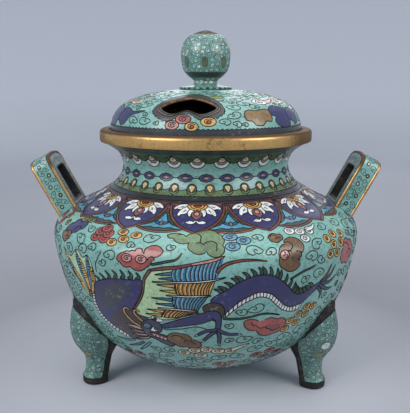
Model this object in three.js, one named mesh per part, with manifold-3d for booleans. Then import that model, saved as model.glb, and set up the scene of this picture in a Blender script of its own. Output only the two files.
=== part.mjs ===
import * as THREE from 'three';
import { mergeVertices } from 'three/addons/utils/BufferGeometryUtils.js';
import Module from 'manifold-3d';

const wasm = await Module();
wasm.setup();

// Driving dimensions in millimetres. The origin is on the vessel's axis, at the floor.
const bowlRadius = 140.5;
const bowlBottomHeight = 9.2;
const bowlWidestHeight = 133;
const throatRadius = 76.5;
const throatHeight = 192;
const lipHeight = 214.2;
const lipRadius = 93.5;
const wall = 2.6;
const gap = 0.3;
const rimRadius = 97;
const ledgeHeight = 224;
const rimTopHeight = 225.4;
const mouthRadius = 84;
const lidRadius = 87;
const lidTopHeight = 260;
const knobRadius = 22.3;
const knobTipHeight = 312.2;
const footRingRadius = 114;
const footTurn = THREE.MathUtils.degToRad(-2.4);
const piercingTurn = THREE.MathUtils.degToRad(-11);
const handleLean = THREE.MathUtils.degToRad(28.3);
const handleOuterOffset = 48.6;
const handleThickness = 18.6;
const handleWidth = 48;
const handleTop = 247;
const roundSides = 48;

const third = 2 * Math.PI / 3;

const turquoise = new THREE.MeshStandardMaterial({ color: 0x5fa79c, roughness: 0.3, metalness: 0 });
const gilt = new THREE.MeshStandardMaterial({ color: 0xb8863b, roughness: 0.32, metalness: 1 });
const bronze = new THREE.MeshStandardMaterial({ color: 0x3a3430, roughness: 0.5, metalness: 0.8 });

// Makes a solid from a closed geometry, dropping the flat triangles that a pole or a seam leaves.
function solidOf(geometry) {
  const bare = geometry.clone();
  bare.deleteAttribute('normal');
  bare.deleteAttribute('uv');
  const merged = mergeVertices(bare, 1e-4);
  const corners = merged.index.array;
  const kept = [];
  for (let i = 0; i < corners.length; i += 3) {
    const [a, b, c] = [corners[i], corners[i + 1], corners[i + 2]];
    if (a !== b && b !== c && c !== a) kept.push(a, b, c);
  }
  return new wasm.Manifold(new wasm.Mesh({
    numProp: 3,
    vertProperties: new Float32Array(merged.attributes.position.array),
    triVerts: new Uint32Array(kept),
  }));
}

function meshOf(name, solid, material) {
  const result = solid.getMesh();
  const geometry = new THREE.BufferGeometry();
  geometry.setAttribute('position', new THREE.BufferAttribute(result.vertProperties, 3));
  geometry.setIndex(new THREE.BufferAttribute(result.triVerts, 1));
  geometry.computeVertexNormals();
  const mesh = new THREE.Mesh(geometry, material);
  mesh.name = name;
  return mesh;
}

// Turns a profile of (radius, height) points, listed anticlockwise, about the vertical axis.
function turned(profile, sides = roundSides) {
  const geometry = new THREE.LatheGeometry(profile, sides);
  geometry.rotateX(Math.PI / 2);
  return solidOf(geometry);
}

function points(...pairs) {
  return pairs.map(([radius, height]) => new THREE.Vector2(radius, height));
}

// Moves an open outline sideways by a distance, to the left of its direction of travel.
function offset(outline, distance) {
  return outline.map((point, i) => {
    const before = outline[Math.max(i - 1, 0)];
    const after = outline[Math.min(i + 1, outline.length - 1)];
    const along = after.clone().sub(before).normalize();
    const moved = new THREE.Vector2(point.x - along.y * distance, point.y + along.x * distance);
    moved.x = Math.max(moved.x, 0);
    return moved;
  });
}

// The bowl's outside in one line: round belly, sloping shoulder, waisted neck and flared lip.
function bowlOutline() {
  const corners = points(
    [0, bowlBottomHeight],
    [40, bowlBottomHeight + 1.4],
    [75, bowlBottomHeight + 12.6],
    [92, bowlBottomHeight + 21.8],
    [105.5, bowlBottomHeight + 33.4],
    [116, bowlWidestHeight - 77.5],
    [125.5, bowlWidestHeight - 60],
    [134, bowlWidestHeight - 37],
    [bowlRadius - 1.6, bowlWidestHeight - 15],
    [bowlRadius, bowlWidestHeight - 1],
    [bowlRadius - 1.6, bowlWidestHeight + 7.6],
    [bowlRadius - 6.5, bowlWidestHeight + 14.2],
    [124, throatHeight - 37.4],
    [106, throatHeight - 29],
    [94.2, throatHeight - 22],
    [85.2, throatHeight - 16],
    [79.4, throatHeight - 9],
    [throatRadius, throatHeight],
    [throatRadius + 1.2, throatHeight + 7],
    [throatRadius + 5, throatHeight + 14],
    [lipRadius, lipHeight],
  );
  const outline = new THREE.SplineCurve(corners).getPoints(corners.length - 1);
  outline[0].x = 0;
  return outline;
}

// The bowl is empty from its floor to its mouth. Its lip thickens inwards to carry the rim.
function makeBowl() {
  const outside = bowlOutline();
  const inside = offset(outside, wall).filter((point, i) => {
    const flank = point.y < bowlWidestHeight - 40;
    return point.y < throatHeight + 8 && !(flank && i % 2 === 1);
  });
  inside[0].set(0, bowlBottomHeight + wall);
  const mouth = points([mouthRadius, lipHeight], [mouthRadius, lipHeight - 3]);
  return turned([...outside, ...mouth, ...inside.reverse()]);
}

// What touches the bowl is cut back to its outside, with a thin gap.
function bowlEnvelope() {
  const outside = offset(bowlOutline(), -gap);
  outside[0].set(0, bowlBottomHeight - gap);
  const top = new THREE.Vector2(0, outside[outside.length - 1].y);
  return turned([...outside, top]);
}

// The gilt ring soldered on the lip, with an upright face and a sunk ledge that the lid rests on.
function makeMouthRim() {
  const bottom = lipHeight + gap;
  const recessRadius = lidRadius + 1.2;
  return turned(points(
    [mouthRadius, bottom],
    [rimRadius - 1.2, bottom],
    [rimRadius, bottom + 1],
    [rimRadius, rimTopHeight - 2.6],
    [rimRadius - 0.9, rimTopHeight - 0.8],
    [rimRadius - 3, rimTopHeight],
    [recessRadius, rimTopHeight],
    [recessRadius, ledgeHeight],
    [mouthRadius, ledgeHeight],
    [mouthRadius, bottom],
  ));
}

// One heart-shaped smoke hole, as seen from above, with its point towards the knob.
function heartOutline() {
  const tip = 58;
  const notch = 78;
  const lobe = 83;
  const halfWidth = 22;
  const heart = new THREE.Shape();
  heart.moveTo(0, -tip);
  heart.bezierCurveTo(4, -tip - 5, halfWidth, -tip - 3, halfWidth, -tip - 13);
  heart.bezierCurveTo(halfWidth, -lobe - 1, 3, -lobe - 1, 0, -notch);
  heart.bezierCurveTo(-3, -lobe - 1, -halfWidth, -lobe - 1, -halfWidth, -tip - 13);
  heart.bezierCurveTo(-halfWidth, -tip - 3, -4, -tip - 5, 0, -tip);
  return heart;
}

// The lid is a hollow dome with a short spigot that drops inside the mouth.
function makeLid() {
  const base = ledgeHeight + gap;
  const shoulder = new THREE.SplineCurve(points(
    [lidRadius, base],
    [lidRadius - 0.2, base + 6],
    [lidRadius - 2.6, base + 12.5],
    [lidRadius - 7, base + 19],
    [lidRadius - 14, base + 24.6],
    [lidRadius - 25, base + 29.2],
    [51, lidTopHeight - 3.5],
    [37, lidTopHeight - 1],
    [26, lidTopHeight],
  ));
  const outside = shoulder.getPoints(10);
  const inside = offset(shoulder.getPoints(6), wall).reverse();
  inside.pop();
  const spigotRadius = mouthRadius - 1.2;
  const spigotBottom = ledgeHeight - 7;
  const solid = turned([
    ...points([spigotRadius - 2, spigotBottom], [spigotRadius, spigotBottom], [spigotRadius, base]),
    ...outside,
    ...points([0, lidTopHeight], [0, lidTopHeight - wall]),
    ...inside,
    ...points([spigotRadius - 2, base + 4], [spigotRadius - 2, spigotBottom]),
  ]);
  const cutterBottom = base + 4;
  const cutter = new THREE.ExtrudeGeometry(heartOutline(), {
    depth: lidTopHeight + wall - cutterBottom,
    bevelEnabled: false,
    curveSegments: 7,
  });
  cutter.translate(0, 0, cutterBottom);
  cutter.rotateZ(piercingTurn);
  let pierced = solid;
  for (let i = 0; i < 3; i += 1) {
    pierced = pierced.subtract(solidOf(cutter));
    cutter.rotateZ(third);
  }
  return pierced;
}

// The knob is a lotus bud on a short stem, with a round collar that sits on the lid.
function makeKnob() {
  const seat = lidTopHeight + gap;
  const bud = new THREE.SplineCurve(points(
    [10.6, seat + 7.6],
    [13.7, seat + 10.1],
    [knobRadius - 5, seat + 13.1],
    [knobRadius - 1.9, seat + 17.7],
    [knobRadius - 0.4, seat + 24.2],
    [knobRadius, knobTipHeight - 19.6],
    [knobRadius - 1.4, knobTipHeight - 13.8],
    [knobRadius - 3.3, knobTipHeight - 9.4],
    [knobRadius - 6.2, knobTipHeight - 6],
    [10.8, knobTipHeight - 2.9],
    [4, knobTipHeight - 0.7],
    [0, knobTipHeight],
  ));
  const sides = 24;
  const outline = bud.getPoints(12);
  outline[outline.length - 1].x = 0;
  return turned([
    ...points([0, seat], [23.4, seat], [24.3, seat + 1], [23.4, seat + 1.9]),
    ...points([14, seat + 3.4], [11, seat + 4.4]),
    ...outline,
  ], sides);
}

// The handle is an upright loop, extruded through its thickness, that leans out from the shoulder.
function makeHandle(side) {
  const legWidth = 12;
  const slotTop = handleTop - 15;
  const slotBottom = 199;
  const rootBottom = 176;
  const corner = 11;
  const slotCorner = 5;
  const crown = 2;
  const half = handleWidth / 2;
  const loop = new THREE.Shape();
  loop.moveTo(-half, rootBottom);
  loop.lineTo(half, rootBottom);
  loop.lineTo(half, handleTop - corner - crown);
  loop.quadraticCurveTo(half, handleTop - crown / 2, half - corner, handleTop - crown / 2);
  loop.quadraticCurveTo(0, handleTop + crown / 2, -half + corner, handleTop - crown / 2);
  loop.quadraticCurveTo(-half, handleTop - crown / 2, -half, handleTop - corner - crown);
  loop.closePath();
  const slot = new THREE.Path();
  const inner = half - legWidth;
  slot.moveTo(-inner, slotBottom);
  slot.lineTo(-inner, slotTop - slotCorner);
  slot.quadraticCurveTo(-inner, slotTop, -inner + slotCorner, slotTop);
  slot.lineTo(inner - slotCorner, slotTop);
  slot.quadraticCurveTo(inner, slotTop, inner, slotTop - slotCorner);
  slot.lineTo(inner, slotBottom);
  slot.closePath();
  loop.holes.push(slot);
  const edge = 1.2;
  const geometry = new THREE.ExtrudeGeometry(loop, {
    depth: handleThickness - 2 * edge,
    bevelThickness: edge,
    bevelSize: edge,
    bevelOffset: -edge,
    bevelSegments: 1,
    curveSegments: 5,
  });
  geometry.translate(0, 0, edge);
  const across = new THREE.Vector3(0, 1, 0);
  const upwards = new THREE.Vector3(Math.sin(handleLean), 0, Math.cos(handleLean));
  const outwards = new THREE.Vector3().crossVectors(across, upwards);
  geometry.applyMatrix4(new THREE.Matrix4().makeBasis(across, upwards, outwards));
  const inset = outwards.clone().multiplyScalar(handleOuterOffset - handleThickness);
  geometry.translate(inset.x, inset.y, inset.z);
  if (side < 0) geometry.rotateZ(Math.PI);
  return solidOf(geometry).subtract(bowlEnvelope());
}

// Half width of a foot at each height, and how far it reaches in and out from the foot ring.
const footSections = [
  { height: 0, width: 10.4, inner: -10.2, outer: 10 },
  { height: 1.5, width: 11, inner: -10.8, outer: 10.8 },
  { height: 6.5, width: 10.8, inner: -11, outer: 10.4 },
  { height: 9.5, width: 9.8, inner: -12, outer: 8.4 },
  { height: 17, width: 9.8, inner: -13.6, outer: 7.4 },
  { height: 25, width: 10.8, inner: -15.4, outer: 8 },
  { height: 32, width: 13.2, inner: -19, outer: 12.2 },
  { height: 39, width: 16.4, inner: -22, outer: 16.8 },
  { height: 47, width: 18.8, inner: -22, outer: 19.3 },
  { height: 56, width: 19.8, inner: -19, outer: 19.9 },
  { height: 65, width: 18.6, inner: -15, outer: 18.6 },
  { height: 72, width: 16.6, inner: -9, outer: 17 },
  { height: 78, width: 13.6, inner: -4, outer: 17 },
  { height: 80, width: 11, inner: 0, outer: 16 },
];

// A foot is D-shaped in plan: rounded outwards, flatter towards the vessel's axis.
function makeFoot(azimuth) {
  const sides = 16;
  const flatness = 0.6;
  const vertices = [];
  const faces = [];
  for (const { height, width, inner, outer } of footSections) {
    const middle = footRingRadius + (inner + outer) / 2;
    const reach = (outer - inner) / 2;
    for (let k = 0; k < sides; k += 1) {
      const turn = 2 * Math.PI * k / sides;
      const power = Math.cos(turn) < 0 ? flatness : 1;
      const along = Math.sign(Math.cos(turn)) * Math.abs(Math.cos(turn)) ** power;
      const beside = Math.sign(Math.sin(turn)) * Math.abs(Math.sin(turn)) ** power;
      vertices.push(middle + reach * along, width * beside, height);
    }
  }
  const last = vertices.length / 3 - sides;
  for (let level = 0; level < footSections.length - 1; level += 1) {
    for (let k = 0; k < sides; k += 1) {
      const a = level * sides + k;
      const b = level * sides + (k + 1) % sides;
      faces.push(a, b, b + sides, a, b + sides, a + sides);
    }
  }
  for (let k = 1; k < sides - 1; k += 1) {
    faces.push(0, k + 1, k);
    faces.push(last, last + k, last + k + 1);
  }
  const geometry = new THREE.BufferGeometry();
  geometry.setAttribute('position', new THREE.Float32BufferAttribute(vertices, 3));
  geometry.setIndex(faces);
  geometry.rotateZ(azimuth - Math.PI / 2);
  return solidOf(geometry).subtract(bowlEnvelope());
}

const group = new THREE.Group();
group.add(meshOf('bowl', makeBowl(), turquoise));
group.add(meshOf('mouth_rim', makeMouthRim(), gilt));
group.add(meshOf('lid', makeLid(), turquoise));
group.add(meshOf('lid_knob', makeKnob(), turquoise));
group.add(meshOf('handle_right', makeHandle(1), turquoise));
group.add(meshOf('handle_left', makeHandle(-1), turquoise));
const feet = ['foot_left', 'foot_right', 'foot_back'];
feet.forEach((name, i) => {
  const azimuth = footTurn + (2 * i - 1) * third / 2;
  group.add(meshOf(name, makeFoot(azimuth), bronze));
});

export default group;
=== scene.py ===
"""A cloisonne tripod incense burner: enamel, wires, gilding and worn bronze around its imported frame."""
import math
import random

import bmesh
import bpy
import numpy as np
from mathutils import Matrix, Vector
from mathutils.geometry import delaunay_2d_cdt


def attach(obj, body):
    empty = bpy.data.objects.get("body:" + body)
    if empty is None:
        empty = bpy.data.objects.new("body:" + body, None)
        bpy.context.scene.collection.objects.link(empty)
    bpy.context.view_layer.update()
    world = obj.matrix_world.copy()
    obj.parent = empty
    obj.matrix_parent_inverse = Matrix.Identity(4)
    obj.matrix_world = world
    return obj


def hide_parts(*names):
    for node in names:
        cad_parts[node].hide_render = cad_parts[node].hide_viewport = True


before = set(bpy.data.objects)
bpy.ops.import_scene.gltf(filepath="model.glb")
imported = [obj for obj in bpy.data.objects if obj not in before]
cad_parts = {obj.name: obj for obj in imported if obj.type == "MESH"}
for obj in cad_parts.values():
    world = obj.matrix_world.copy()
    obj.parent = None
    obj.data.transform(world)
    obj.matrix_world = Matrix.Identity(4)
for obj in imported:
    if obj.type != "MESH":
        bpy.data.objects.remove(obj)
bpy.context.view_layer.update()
MM = 0.001

# The photograph's camera: close in front and a little above, so the rings show as open ellipses.
eye_height = 0.2695
eye_distance = 0.58
look_down = math.radians(11.57)
lens_data = bpy.data.cameras.new("camera")
lens_data.sensor_width = 36
lens_data.lens = 54.33
lens = bpy.data.objects.new("camera", lens_data)
lens.location = (-0.00065, -eye_distance, eye_height)
lens.rotation_euler = (math.pi / 2 - look_down, 0, 0)
bpy.context.collection.objects.link(lens)
bpy.context.scene.camera = lens
bpy.context.scene.view_settings.view_transform = "Standard"


def settled(shape, mesh, crease=None):
    """Smooths a bmesh, up to an angle in degrees if one is given, and writes it into a mesh."""
    for face in shape.faces:
        face.smooth = True
    if crease:
        for edge in shape.edges:
            edge.smooth = edge.calc_face_angle(0) < math.radians(crease)
    shape.to_mesh(mesh)
    shape.free()
    return mesh


# The stage is a pale grey-blue floor that sweeps up all round, lit by large soft lamps.
floor_drop = 0.0004
sweep = bmesh.new()
rim_points = [(1.5 + 0.7 * math.sin(a), 0.7 - 0.7 * math.cos(a)) for a in np.linspace(0, math.pi / 2, 13)]
profile = [sweep.verts.new((0.0, 0.0, -floor_drop))]
for radius, height in [(0.4, 0.0), *rim_points, (2.2, 2.2)]:
    profile.append(sweep.verts.new((radius, 0.0, height - floor_drop)))
lines = [sweep.edges.new(pair) for pair in zip(profile, profile[1:])]
bmesh.ops.spin(sweep, geom=profile + lines, cent=(0, 0, 0), axis=(0, 0, 1), angle=math.tau, steps=96,
               use_merge=True)
bmesh.ops.remove_doubles(sweep, verts=sweep.verts, dist=1e-5)
bmesh.ops.recalc_face_normals(sweep, faces=sweep.faces)
floor_mesh = settled(sweep, bpy.data.meshes.new("backdrop"))
backdrop = bpy.data.objects.new("backdrop", floor_mesh)
bpy.context.collection.objects.link(backdrop)
paper = bpy.data.materials.new("backdrop_paper")
paper.use_nodes = True
paper_shader = paper.node_tree.nodes["Principled BSDF"]
paper_shader.inputs["Roughness"].default_value = 0.9
paper_place = paper.node_tree.nodes.new("ShaderNodeTexCoord")
paper_reach = paper.node_tree.nodes.new("ShaderNodeVectorMath")
paper_reach.operation = "LENGTH"
# Painted light and shade: the floor's colour changes with distance from the middle. It is lighter just round
# the vessel against its cast shadow, darkest about a quarter metre out, and lighter again further out and up
# the sweep.
painted_floor_light = paper.node_tree.nodes.new("ShaderNodeValToRGB")
painted_floor_light.color_ramp.elements[0].position = 0.035  # half the distance from the middle, in metres
painted_floor_light.color_ramp.elements[0].color = (0.58, 0.59, 0.64, 1)
painted_floor_light.color_ramp.elements[1].position = 1.0
painted_floor_light.color_ramp.elements[1].color = (0.60, 0.63, 0.68, 1)
for place, grey in ((0.06, (0.46, 0.47, 0.51)), (0.095, (0.33, 0.34, 0.375)), (0.13, (0.245, 0.255, 0.28)),
                    (0.2, (0.26, 0.27, 0.30)), (0.3, (0.29, 0.30, 0.335)), (0.55, (0.335, 0.345, 0.385)),
                    (0.75, (0.42, 0.435, 0.475))):
    painted_floor_light.color_ramp.elements.new(place).color = (*grey, 1)
paper.node_tree.links.new(paper_place.outputs["Object"], paper_reach.inputs[0])
paper_scale = paper.node_tree.nodes.new("ShaderNodeMath")
paper_scale.operation = "DIVIDE"
paper_scale.inputs[1].default_value = 2.0
paper.node_tree.links.new(paper_reach.outputs["Value"], paper_scale.inputs[0])
paper.node_tree.links.new(paper_scale.outputs[0], painted_floor_light.inputs["Fac"])
paper.node_tree.links.new(painted_floor_light.outputs["Color"], paper_shader.inputs["Base Color"])
floor_mesh.materials.append(paper)

sky = bpy.data.worlds.new("studio")
sky.use_nodes = True
sky.node_tree.nodes["Background"].inputs["Color"].default_value = (0.80, 0.85, 0.95, 1)
sky.node_tree.nodes["Background"].inputs["Strength"].default_value = 0.75
bpy.context.scene.world = sky


def lamp(name, place, target, size, power):
    """A soft square lamp aimed at a point."""
    data = bpy.data.lights.new(name, "AREA")
    data.size = size
    data.energy = power
    light = bpy.data.objects.new(name, data)
    light.location = place
    aim = Vector(target) - Vector(place)
    light.rotation_euler = aim.to_track_quat("-Z", "Y").to_euler()
    light.visible_camera = False
    bpy.context.collection.objects.link(light)


lamp("left_softbox", (-0.95, -0.85, 0.95), (0, 0, 0.15), 0.8, 13)
lamp("right_softbox", (1.0, -0.65, 0.85), (0, 0, 0.15), 0.7, 8)
lamp("overhead", (0.0, -0.1, 1.5), (0, 0, 0.1), 1.4, 8)
lamp("back_fill", (0.2, 1.2, 0.9), (0, 0, 0.15), 1.0, 4)


# The bowl is raised from copper sheet: a squat round body, a sharp turn to the shoulder, a waisted
# neck and a flared lip. Its outside is enamel laid in cells between copper wires that stand on the
# metal; the inside is bare, sooty copper.
def spline(points, steps, closed=False):
    """A smooth line through the points, with the same number of steps in each span."""
    knots = np.array(points, float)
    if closed:
        ends = np.vstack([knots[-1:], knots, knots[:2]])
    else:
        ends = np.vstack([knots[:1], knots, knots[-1:]])
    t = np.linspace(0, 1, steps + 1)[:-1, None]
    spans = []
    for a, b, c, d in zip(ends, ends[1:], ends[2:], ends[3:]):
        spans.append(b + (c - a) / 2 * t + (a - 2.5 * b + 2 * c - d / 2) * t ** 2
                     + (1.5 * (b - c) + (d - a) / 2) * t ** 3)
    if not closed:
        spans.append(knots[-1:])
    return np.vstack(spans)


class Turned:
    """The outside of a turned form. A place on it is (degrees from the front, mm along the outline)."""

    def __init__(self, outline, zero_height):
        curve = spline(outline, 24)
        step = np.hypot(*np.diff(curve, axis=0).T)
        along = np.concatenate([[0], np.cumsum(step)])
        self.radii, self.heights = curve.T
        self.marks = along - along[np.argmin(abs(self.heights - zero_height))]
        slope = np.gradient(curve, self.marks, axis=0)
        slope /= np.linalg.norm(slope, axis=1)[:, None]
        self.out, self.up = slope[:, 1], -slope[:, 0]

    def radius(self, along):
        return np.interp(along, self.marks, self.radii)

    def at(self, places, lift=0.0):
        """Points on the surface, lift mm above it, in metres."""
        turn = np.radians(places[:, 0])
        along = places[:, 1]
        radius = self.radius(along) + lift * np.interp(along, self.marks, self.out)
        height = np.interp(along, self.marks, self.heights) + lift * np.interp(along, self.marks, self.up)
        return np.stack([radius * np.sin(turn), -radius * np.cos(turn), height], 1) * MM

    def scale(self, places):
        """Millimetres across and along for one degree and one millimetre of the map."""
        across = np.maximum(self.radius(places[:, 1]), 1.0) * math.pi / 180
        return np.stack([across, np.ones(len(places))], 1)


def inside(outline, spots):
    """Which spots lie within a closed outline."""
    x, y = spots[:, 0][:, None], spots[:, 1][:, None]
    x1, y1 = outline.T
    x2, y2 = np.roll(outline, -1, axis=0).T
    crosses = (y1 > y) != (y2 > y)
    slant = np.where(y2 == y1, 1e-9, y2 - y1)
    return (crosses & (x < (x2 - x1) * (y - y1) / slant + x1)).sum(1) % 2 == 1


class Picture:
    """Enamel cells and the wires between them, drawn on the map of a surface."""

    def __init__(self, surface, wire_width=0.6):
        self.surface = surface
        self.jumps = (-360, 0, 360) if isinstance(surface, Turned) else (0,)
        self.width = wire_width
        self.cells = []
        self.wires = []

    def cell(self, outline, glaze, wire=True):
        """A closed field of one colour. Later cells lie over earlier ones."""
        outline = np.asarray(outline, float)
        self.cells.append((outline, glaze))
        if wire:
            self.line(np.vstack([outline, outline[:1]]))

    def line(self, path, width=None):
        self.wires.append((np.asarray(path, float), width or self.width, len(self.cells)))

    def place(self, shape, where, turn=0.0):
        """A shape in mm, turned and set down at a place on the map."""
        shape = np.asarray(shape, float)
        angle = math.radians(turn)
        x = shape[:, 0] * math.cos(angle) - shape[:, 1] * math.sin(angle)
        y = shape[:, 0] * math.sin(angle) + shape[:, 1] * math.cos(angle)
        spot = np.array([where], float)
        return spot + np.stack([x, y], 1) / self.surface.scale(spot)

    def limb(self, points, widths):
        """The outline of a tapering stroke, with its widths in mm."""
        middle = spline(points, 6)
        scale = self.surface.scale(middle)
        width = np.interp(np.linspace(0, 1, len(middle)), np.linspace(0, 1, len(widths)), widths)
        run = np.gradient(middle * scale, axis=0)
        run /= np.linalg.norm(run, axis=1)[:, None] + 1e-9
        side = np.stack([-run[:, 1], run[:, 0]], 1) * width[:, None] / 2 / scale
        return np.vstack([middle + side, (middle - side)[::-1]])

    def runs(self, start=0, stop=None):
        """The stretches of some of the wires that no later cell covers, evenly cut."""
        lows = np.array([outline.min(0) for outline, _ in self.cells]).reshape(-1, 2)
        highs = np.array([outline.max(0) for outline, _ in self.cells]).reshape(-1, 2)
        for path, width, level in self.wires[start:stop]:
            real = path * self.surface.scale(path)
            gaps = np.linalg.norm(np.diff(real, axis=0), axis=1)
            marks = np.concatenate([[0], np.cumsum(gaps)])
            count = max(2, int(marks[-1] / 1.1) + 1)
            if len(path) <= count:
                even = path
            else:
                even = np.stack([np.interp(np.linspace(0, marks[-1], count), marks, path[:, k])
                                 for k in (0, 1)], 1)
            spots = (even[:-1] + even[1:]) / 2
            near = ((lows < spots.max(0)) & (highs > spots.min(0))).all(1)
            shown = np.ones(len(spots), bool)
            for k in level + near[level:].nonzero()[0]:
                shown &= ~inside(self.cells[k][0], spots)
            begun = 0
            for k in range(len(shown) + 1):
                if k == len(shown) or not shown[k]:
                    if k > begun:
                        yield even[begun:k + 1], width
                    begun = k + 1


def laid_open(mesh):
    """A bmesh copy of a mesh."""
    shape = bmesh.new()
    shape.from_mesh(mesh)
    return shape


def ribbons(name, surface, runs, proud=0.06, depth=0.35):
    """Flat-topped wires on a surface: each one is a closed strip with a keel sunk in the enamel."""
    corners, faces = [], []
    total = 0
    for path, width in runs:
        centre = surface.at(path)
        normal = (surface.at(path, 1.0) - centre) / MM
        run = np.gradient(centre, axis=0)
        side = np.cross(normal, run)
        side /= np.linalg.norm(side, axis=1)[:, None] + 1e-12
        top = centre + normal * proud * MM
        aside = side * width * MM / 2
        rails = np.stack([top + aside, top - aside, centre - normal * depth * MM], 1)
        corners.append(rails.reshape(-1, 3))
        count = len(path)
        first = total + 3 * np.arange(count - 1)
        for a, b in ((0, 1), (1, 2), (2, 0)):
            faces.append(np.stack([first + a, first + b, first + b + 3, first + a + 3], 1))
        total += 3 * count
    mesh = bpy.data.meshes.new(name)
    quads = np.vstack(faces)
    mesh.from_pydata(np.vstack(corners), [], quads.tolist())
    shape = laid_open(mesh)
    bmesh.ops.holes_fill(shape, edges=[edge for edge in shape.edges if edge.is_boundary], sides=3)
    bmesh.ops.recalc_face_normals(shape, faces=shape.faces)
    shape.to_mesh(mesh)
    shape.free()
    return mesh


def glaze(red, green, blue):
    """A colour given as it looks on a screen, as light."""
    return tuple(((c / 255 + 0.055) / 1.055) ** 2.4 if c > 10 else c / 255 / 12.92
                 for c in (red, green, blue))


turquoise = glaze(122, 173, 163)
navy = glaze(44, 44, 96)
red = glaze(158, 76, 70)
red_brown = glaze(120, 56, 44)
ochre = glaze(206, 164, 88)
leaf = glaze(66, 88, 54)
olive = glaze(128, 136, 74)
sky_blue = glaze(82, 144, 172)
deep_blue = glaze(40, 88, 130)
brown = glaze(106, 76, 42)
cream = glaze(222, 210, 176)
white = glaze(226, 228, 224)
pink = glaze(198, 138, 134)
dark_green = glaze(30, 66, 56)
pale_green = glaze(176, 206, 160)
mauve = glaze(108, 98, 122)
iron = glaze(44, 46, 52)

bowl_outline = [
    (0, 9.2), (40, 10.6), (75, 21.8), (92, 31), (105.5, 42.6), (116, 55.5), (125.5, 73), (134, 96),
    (138.9, 118), (140.5, 132), (138.9, 140.6), (134, 147.2), (124, 154.6), (106, 163), (94.2, 170),
    (85.2, 176), (79.4, 183), (76.5, 192), (77.7, 199), (81.5, 206), (93.5, 214.2),
]
bowl = Turned(bowl_outline, 133)
field = Picture(bowl, 0.82)


def oval(width, height, sides=18):
    """An ellipse in mm."""
    turn = np.linspace(0, math.tau, sides, endpoint=False)
    return np.stack([width / 2 * np.cos(turn), height / 2 * np.sin(turn)], 1)


def petal(length, width, tip=1.0, start=0.0):
    """A petal in mm, growing up from its root and pointed at the end."""
    rise = np.linspace(0, 1, 9)
    swell = np.sin(math.pi * rise ** 0.8) ** tip * width / 2
    left = np.stack([-swell, start + rise * length], 1)
    right = np.stack([swell, start + rise * length], 1)
    return np.vstack([left, right[-2:0:-1]])


def spiral(width, height, turns=1.3, sides=18, begin=0.0):
    """An open spiral in mm, winding in from its edge."""
    t = np.linspace(0, 1, sides)
    turn = begin + math.tau * turns * t
    size = 1 - 0.82 * t
    return np.stack([width / 2 * size * np.cos(turn), height / 2 * size * np.sin(turn)], 1)


def around(count, phase):
    """The angles of a ring of like motifs."""
    return [phase + 360 * k / count - (360 if phase + 360 * k / count > 180 else 0) for k in range(count)]


def band(picture, low, high, colour, edges=True):
    """A plain ring of colour between two marks of the outline."""
    across = np.linspace(-180, 180, 121)
    picture.cell(np.vstack([np.stack([across, 0 * across + low], 1),
                            np.stack([across[::-1], 0 * across + high], 1)]),
                 colour, wire=False)
    if edges:
        for mark in (low, high):
            picture.line(np.stack([across, 0 * across + mark], 1))


# neck: hanging shells between green swags, navy lenses, and round cream buds over green scallops
for angle in around(25, -5.0):
    field.cell(field.place(oval(13.6, 13.0), (angle, 104.2)), white)
    field.cell(field.place(oval(9.2, 8.8), (angle, 105.4)), glaze(150, 150, 138))
    field.cell(field.place(oval(6.8, 6.0), (angle, 106.2)), cream)
    field.cell(field.place(oval(2.6, 2.2, 10), (angle, 106.2)), pink, wire=False)
for angle in around(25, -5.0 + 7.2):
    swag = [(-9.9, 6.4), (-8.2, 2.0), (-4.6, -1.8), (0, -3.2), (4.6, -1.8), (8.2, 2.0), (9.9, 6.4),
            (6, 7.6), (-6, 7.6)]
    field.cell(field.place(spline(swag, 3, closed=True), (angle, 105.5)), leaf)
    field.line(field.place(spline([(-7, 3.6), (0, 0.0), (7, 3.6)], 5), (angle, 105.5)))
band(field, 111.4, 121.36, leaf, edges=False)
# A dark band on the flare just under the rim's overhang.
band(field, 114.4, 121.36, iron)
for angle in around(28, 0.4):
    lens_shape = [(-6.8, 0), (-4.4, 2.2), (0, 3.5), (4.4, 2.2), (6.8, 0), (4.4, -2.2), (0, -3.5),
                  (-4.4, -2.2)]
    field.cell(field.place(lens_shape, (angle, 89.6)), navy)
    field.cell(field.place(np.array(lens_shape) * [0.56, 0.46], (angle, 89.6)), mauve)
    field.cell(field.place(oval(2.2, 1.0, 8), (angle, 89.6)), pink, wire=False)
    for side in (-1, 1):
        field.line(field.place([(side * 6.8, 0), (side * 8.6, 0)], (angle, 89.6)))
scallop = glaze(98, 122, 82)
fringe = [(-180 + 360 * k / 272, 79.6 + (0.9, 1.5, 0.9, 0.0, -0.6, -0.9, -0.6, 0.0)[k % 8])
          for k in range(273)]
field.cell(np.array([*fringe, *[(angle, 66.0) for angle in np.linspace(180, -180, 121)]]), scallop,
           wire=False)
field.line(np.array(fringe))
for angle in around(34, 2.4):
    field.cell(field.place(oval(8.0, 7.6, 16), (angle, 81.0)), glaze(58, 92, 70))
    field.cell(field.place([(-2.7, 0.6), (-2.2, 2.0), (0, 2.9), (2.2, 2.0), (2.7, 0.6), (1.8, -1.2),
                            (0, -4.2), (-1.8, -1.2)],
                           (angle, 81.0)), glaze(214, 192, 140))
    field.cell(field.place(oval(1.8, 2.4, 8), (angle, 81.2)), ochre, wire=False)
    for side in (-1, 1):
        field.line(field.place(spline([(side * 4.2, -1.0), (side * 3.4, -4.4), (0, -6.6)], 3),
                               (angle, 81.0)))
worn_edge = [(-180 + 1.25 * k, 73.4 + 0.7 * (k % 2)) for k in range(289)]
field.cell(np.array([*worn_edge, *[(angle, 65.4) for angle in np.linspace(180, -180, 121)]]), iron,
           wire=False)
for mark in (65.4, 68.2, 73.2):
    field.line(np.stack([np.linspace(-180, 180, 121), np.full(121, mark)], 1))


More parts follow.
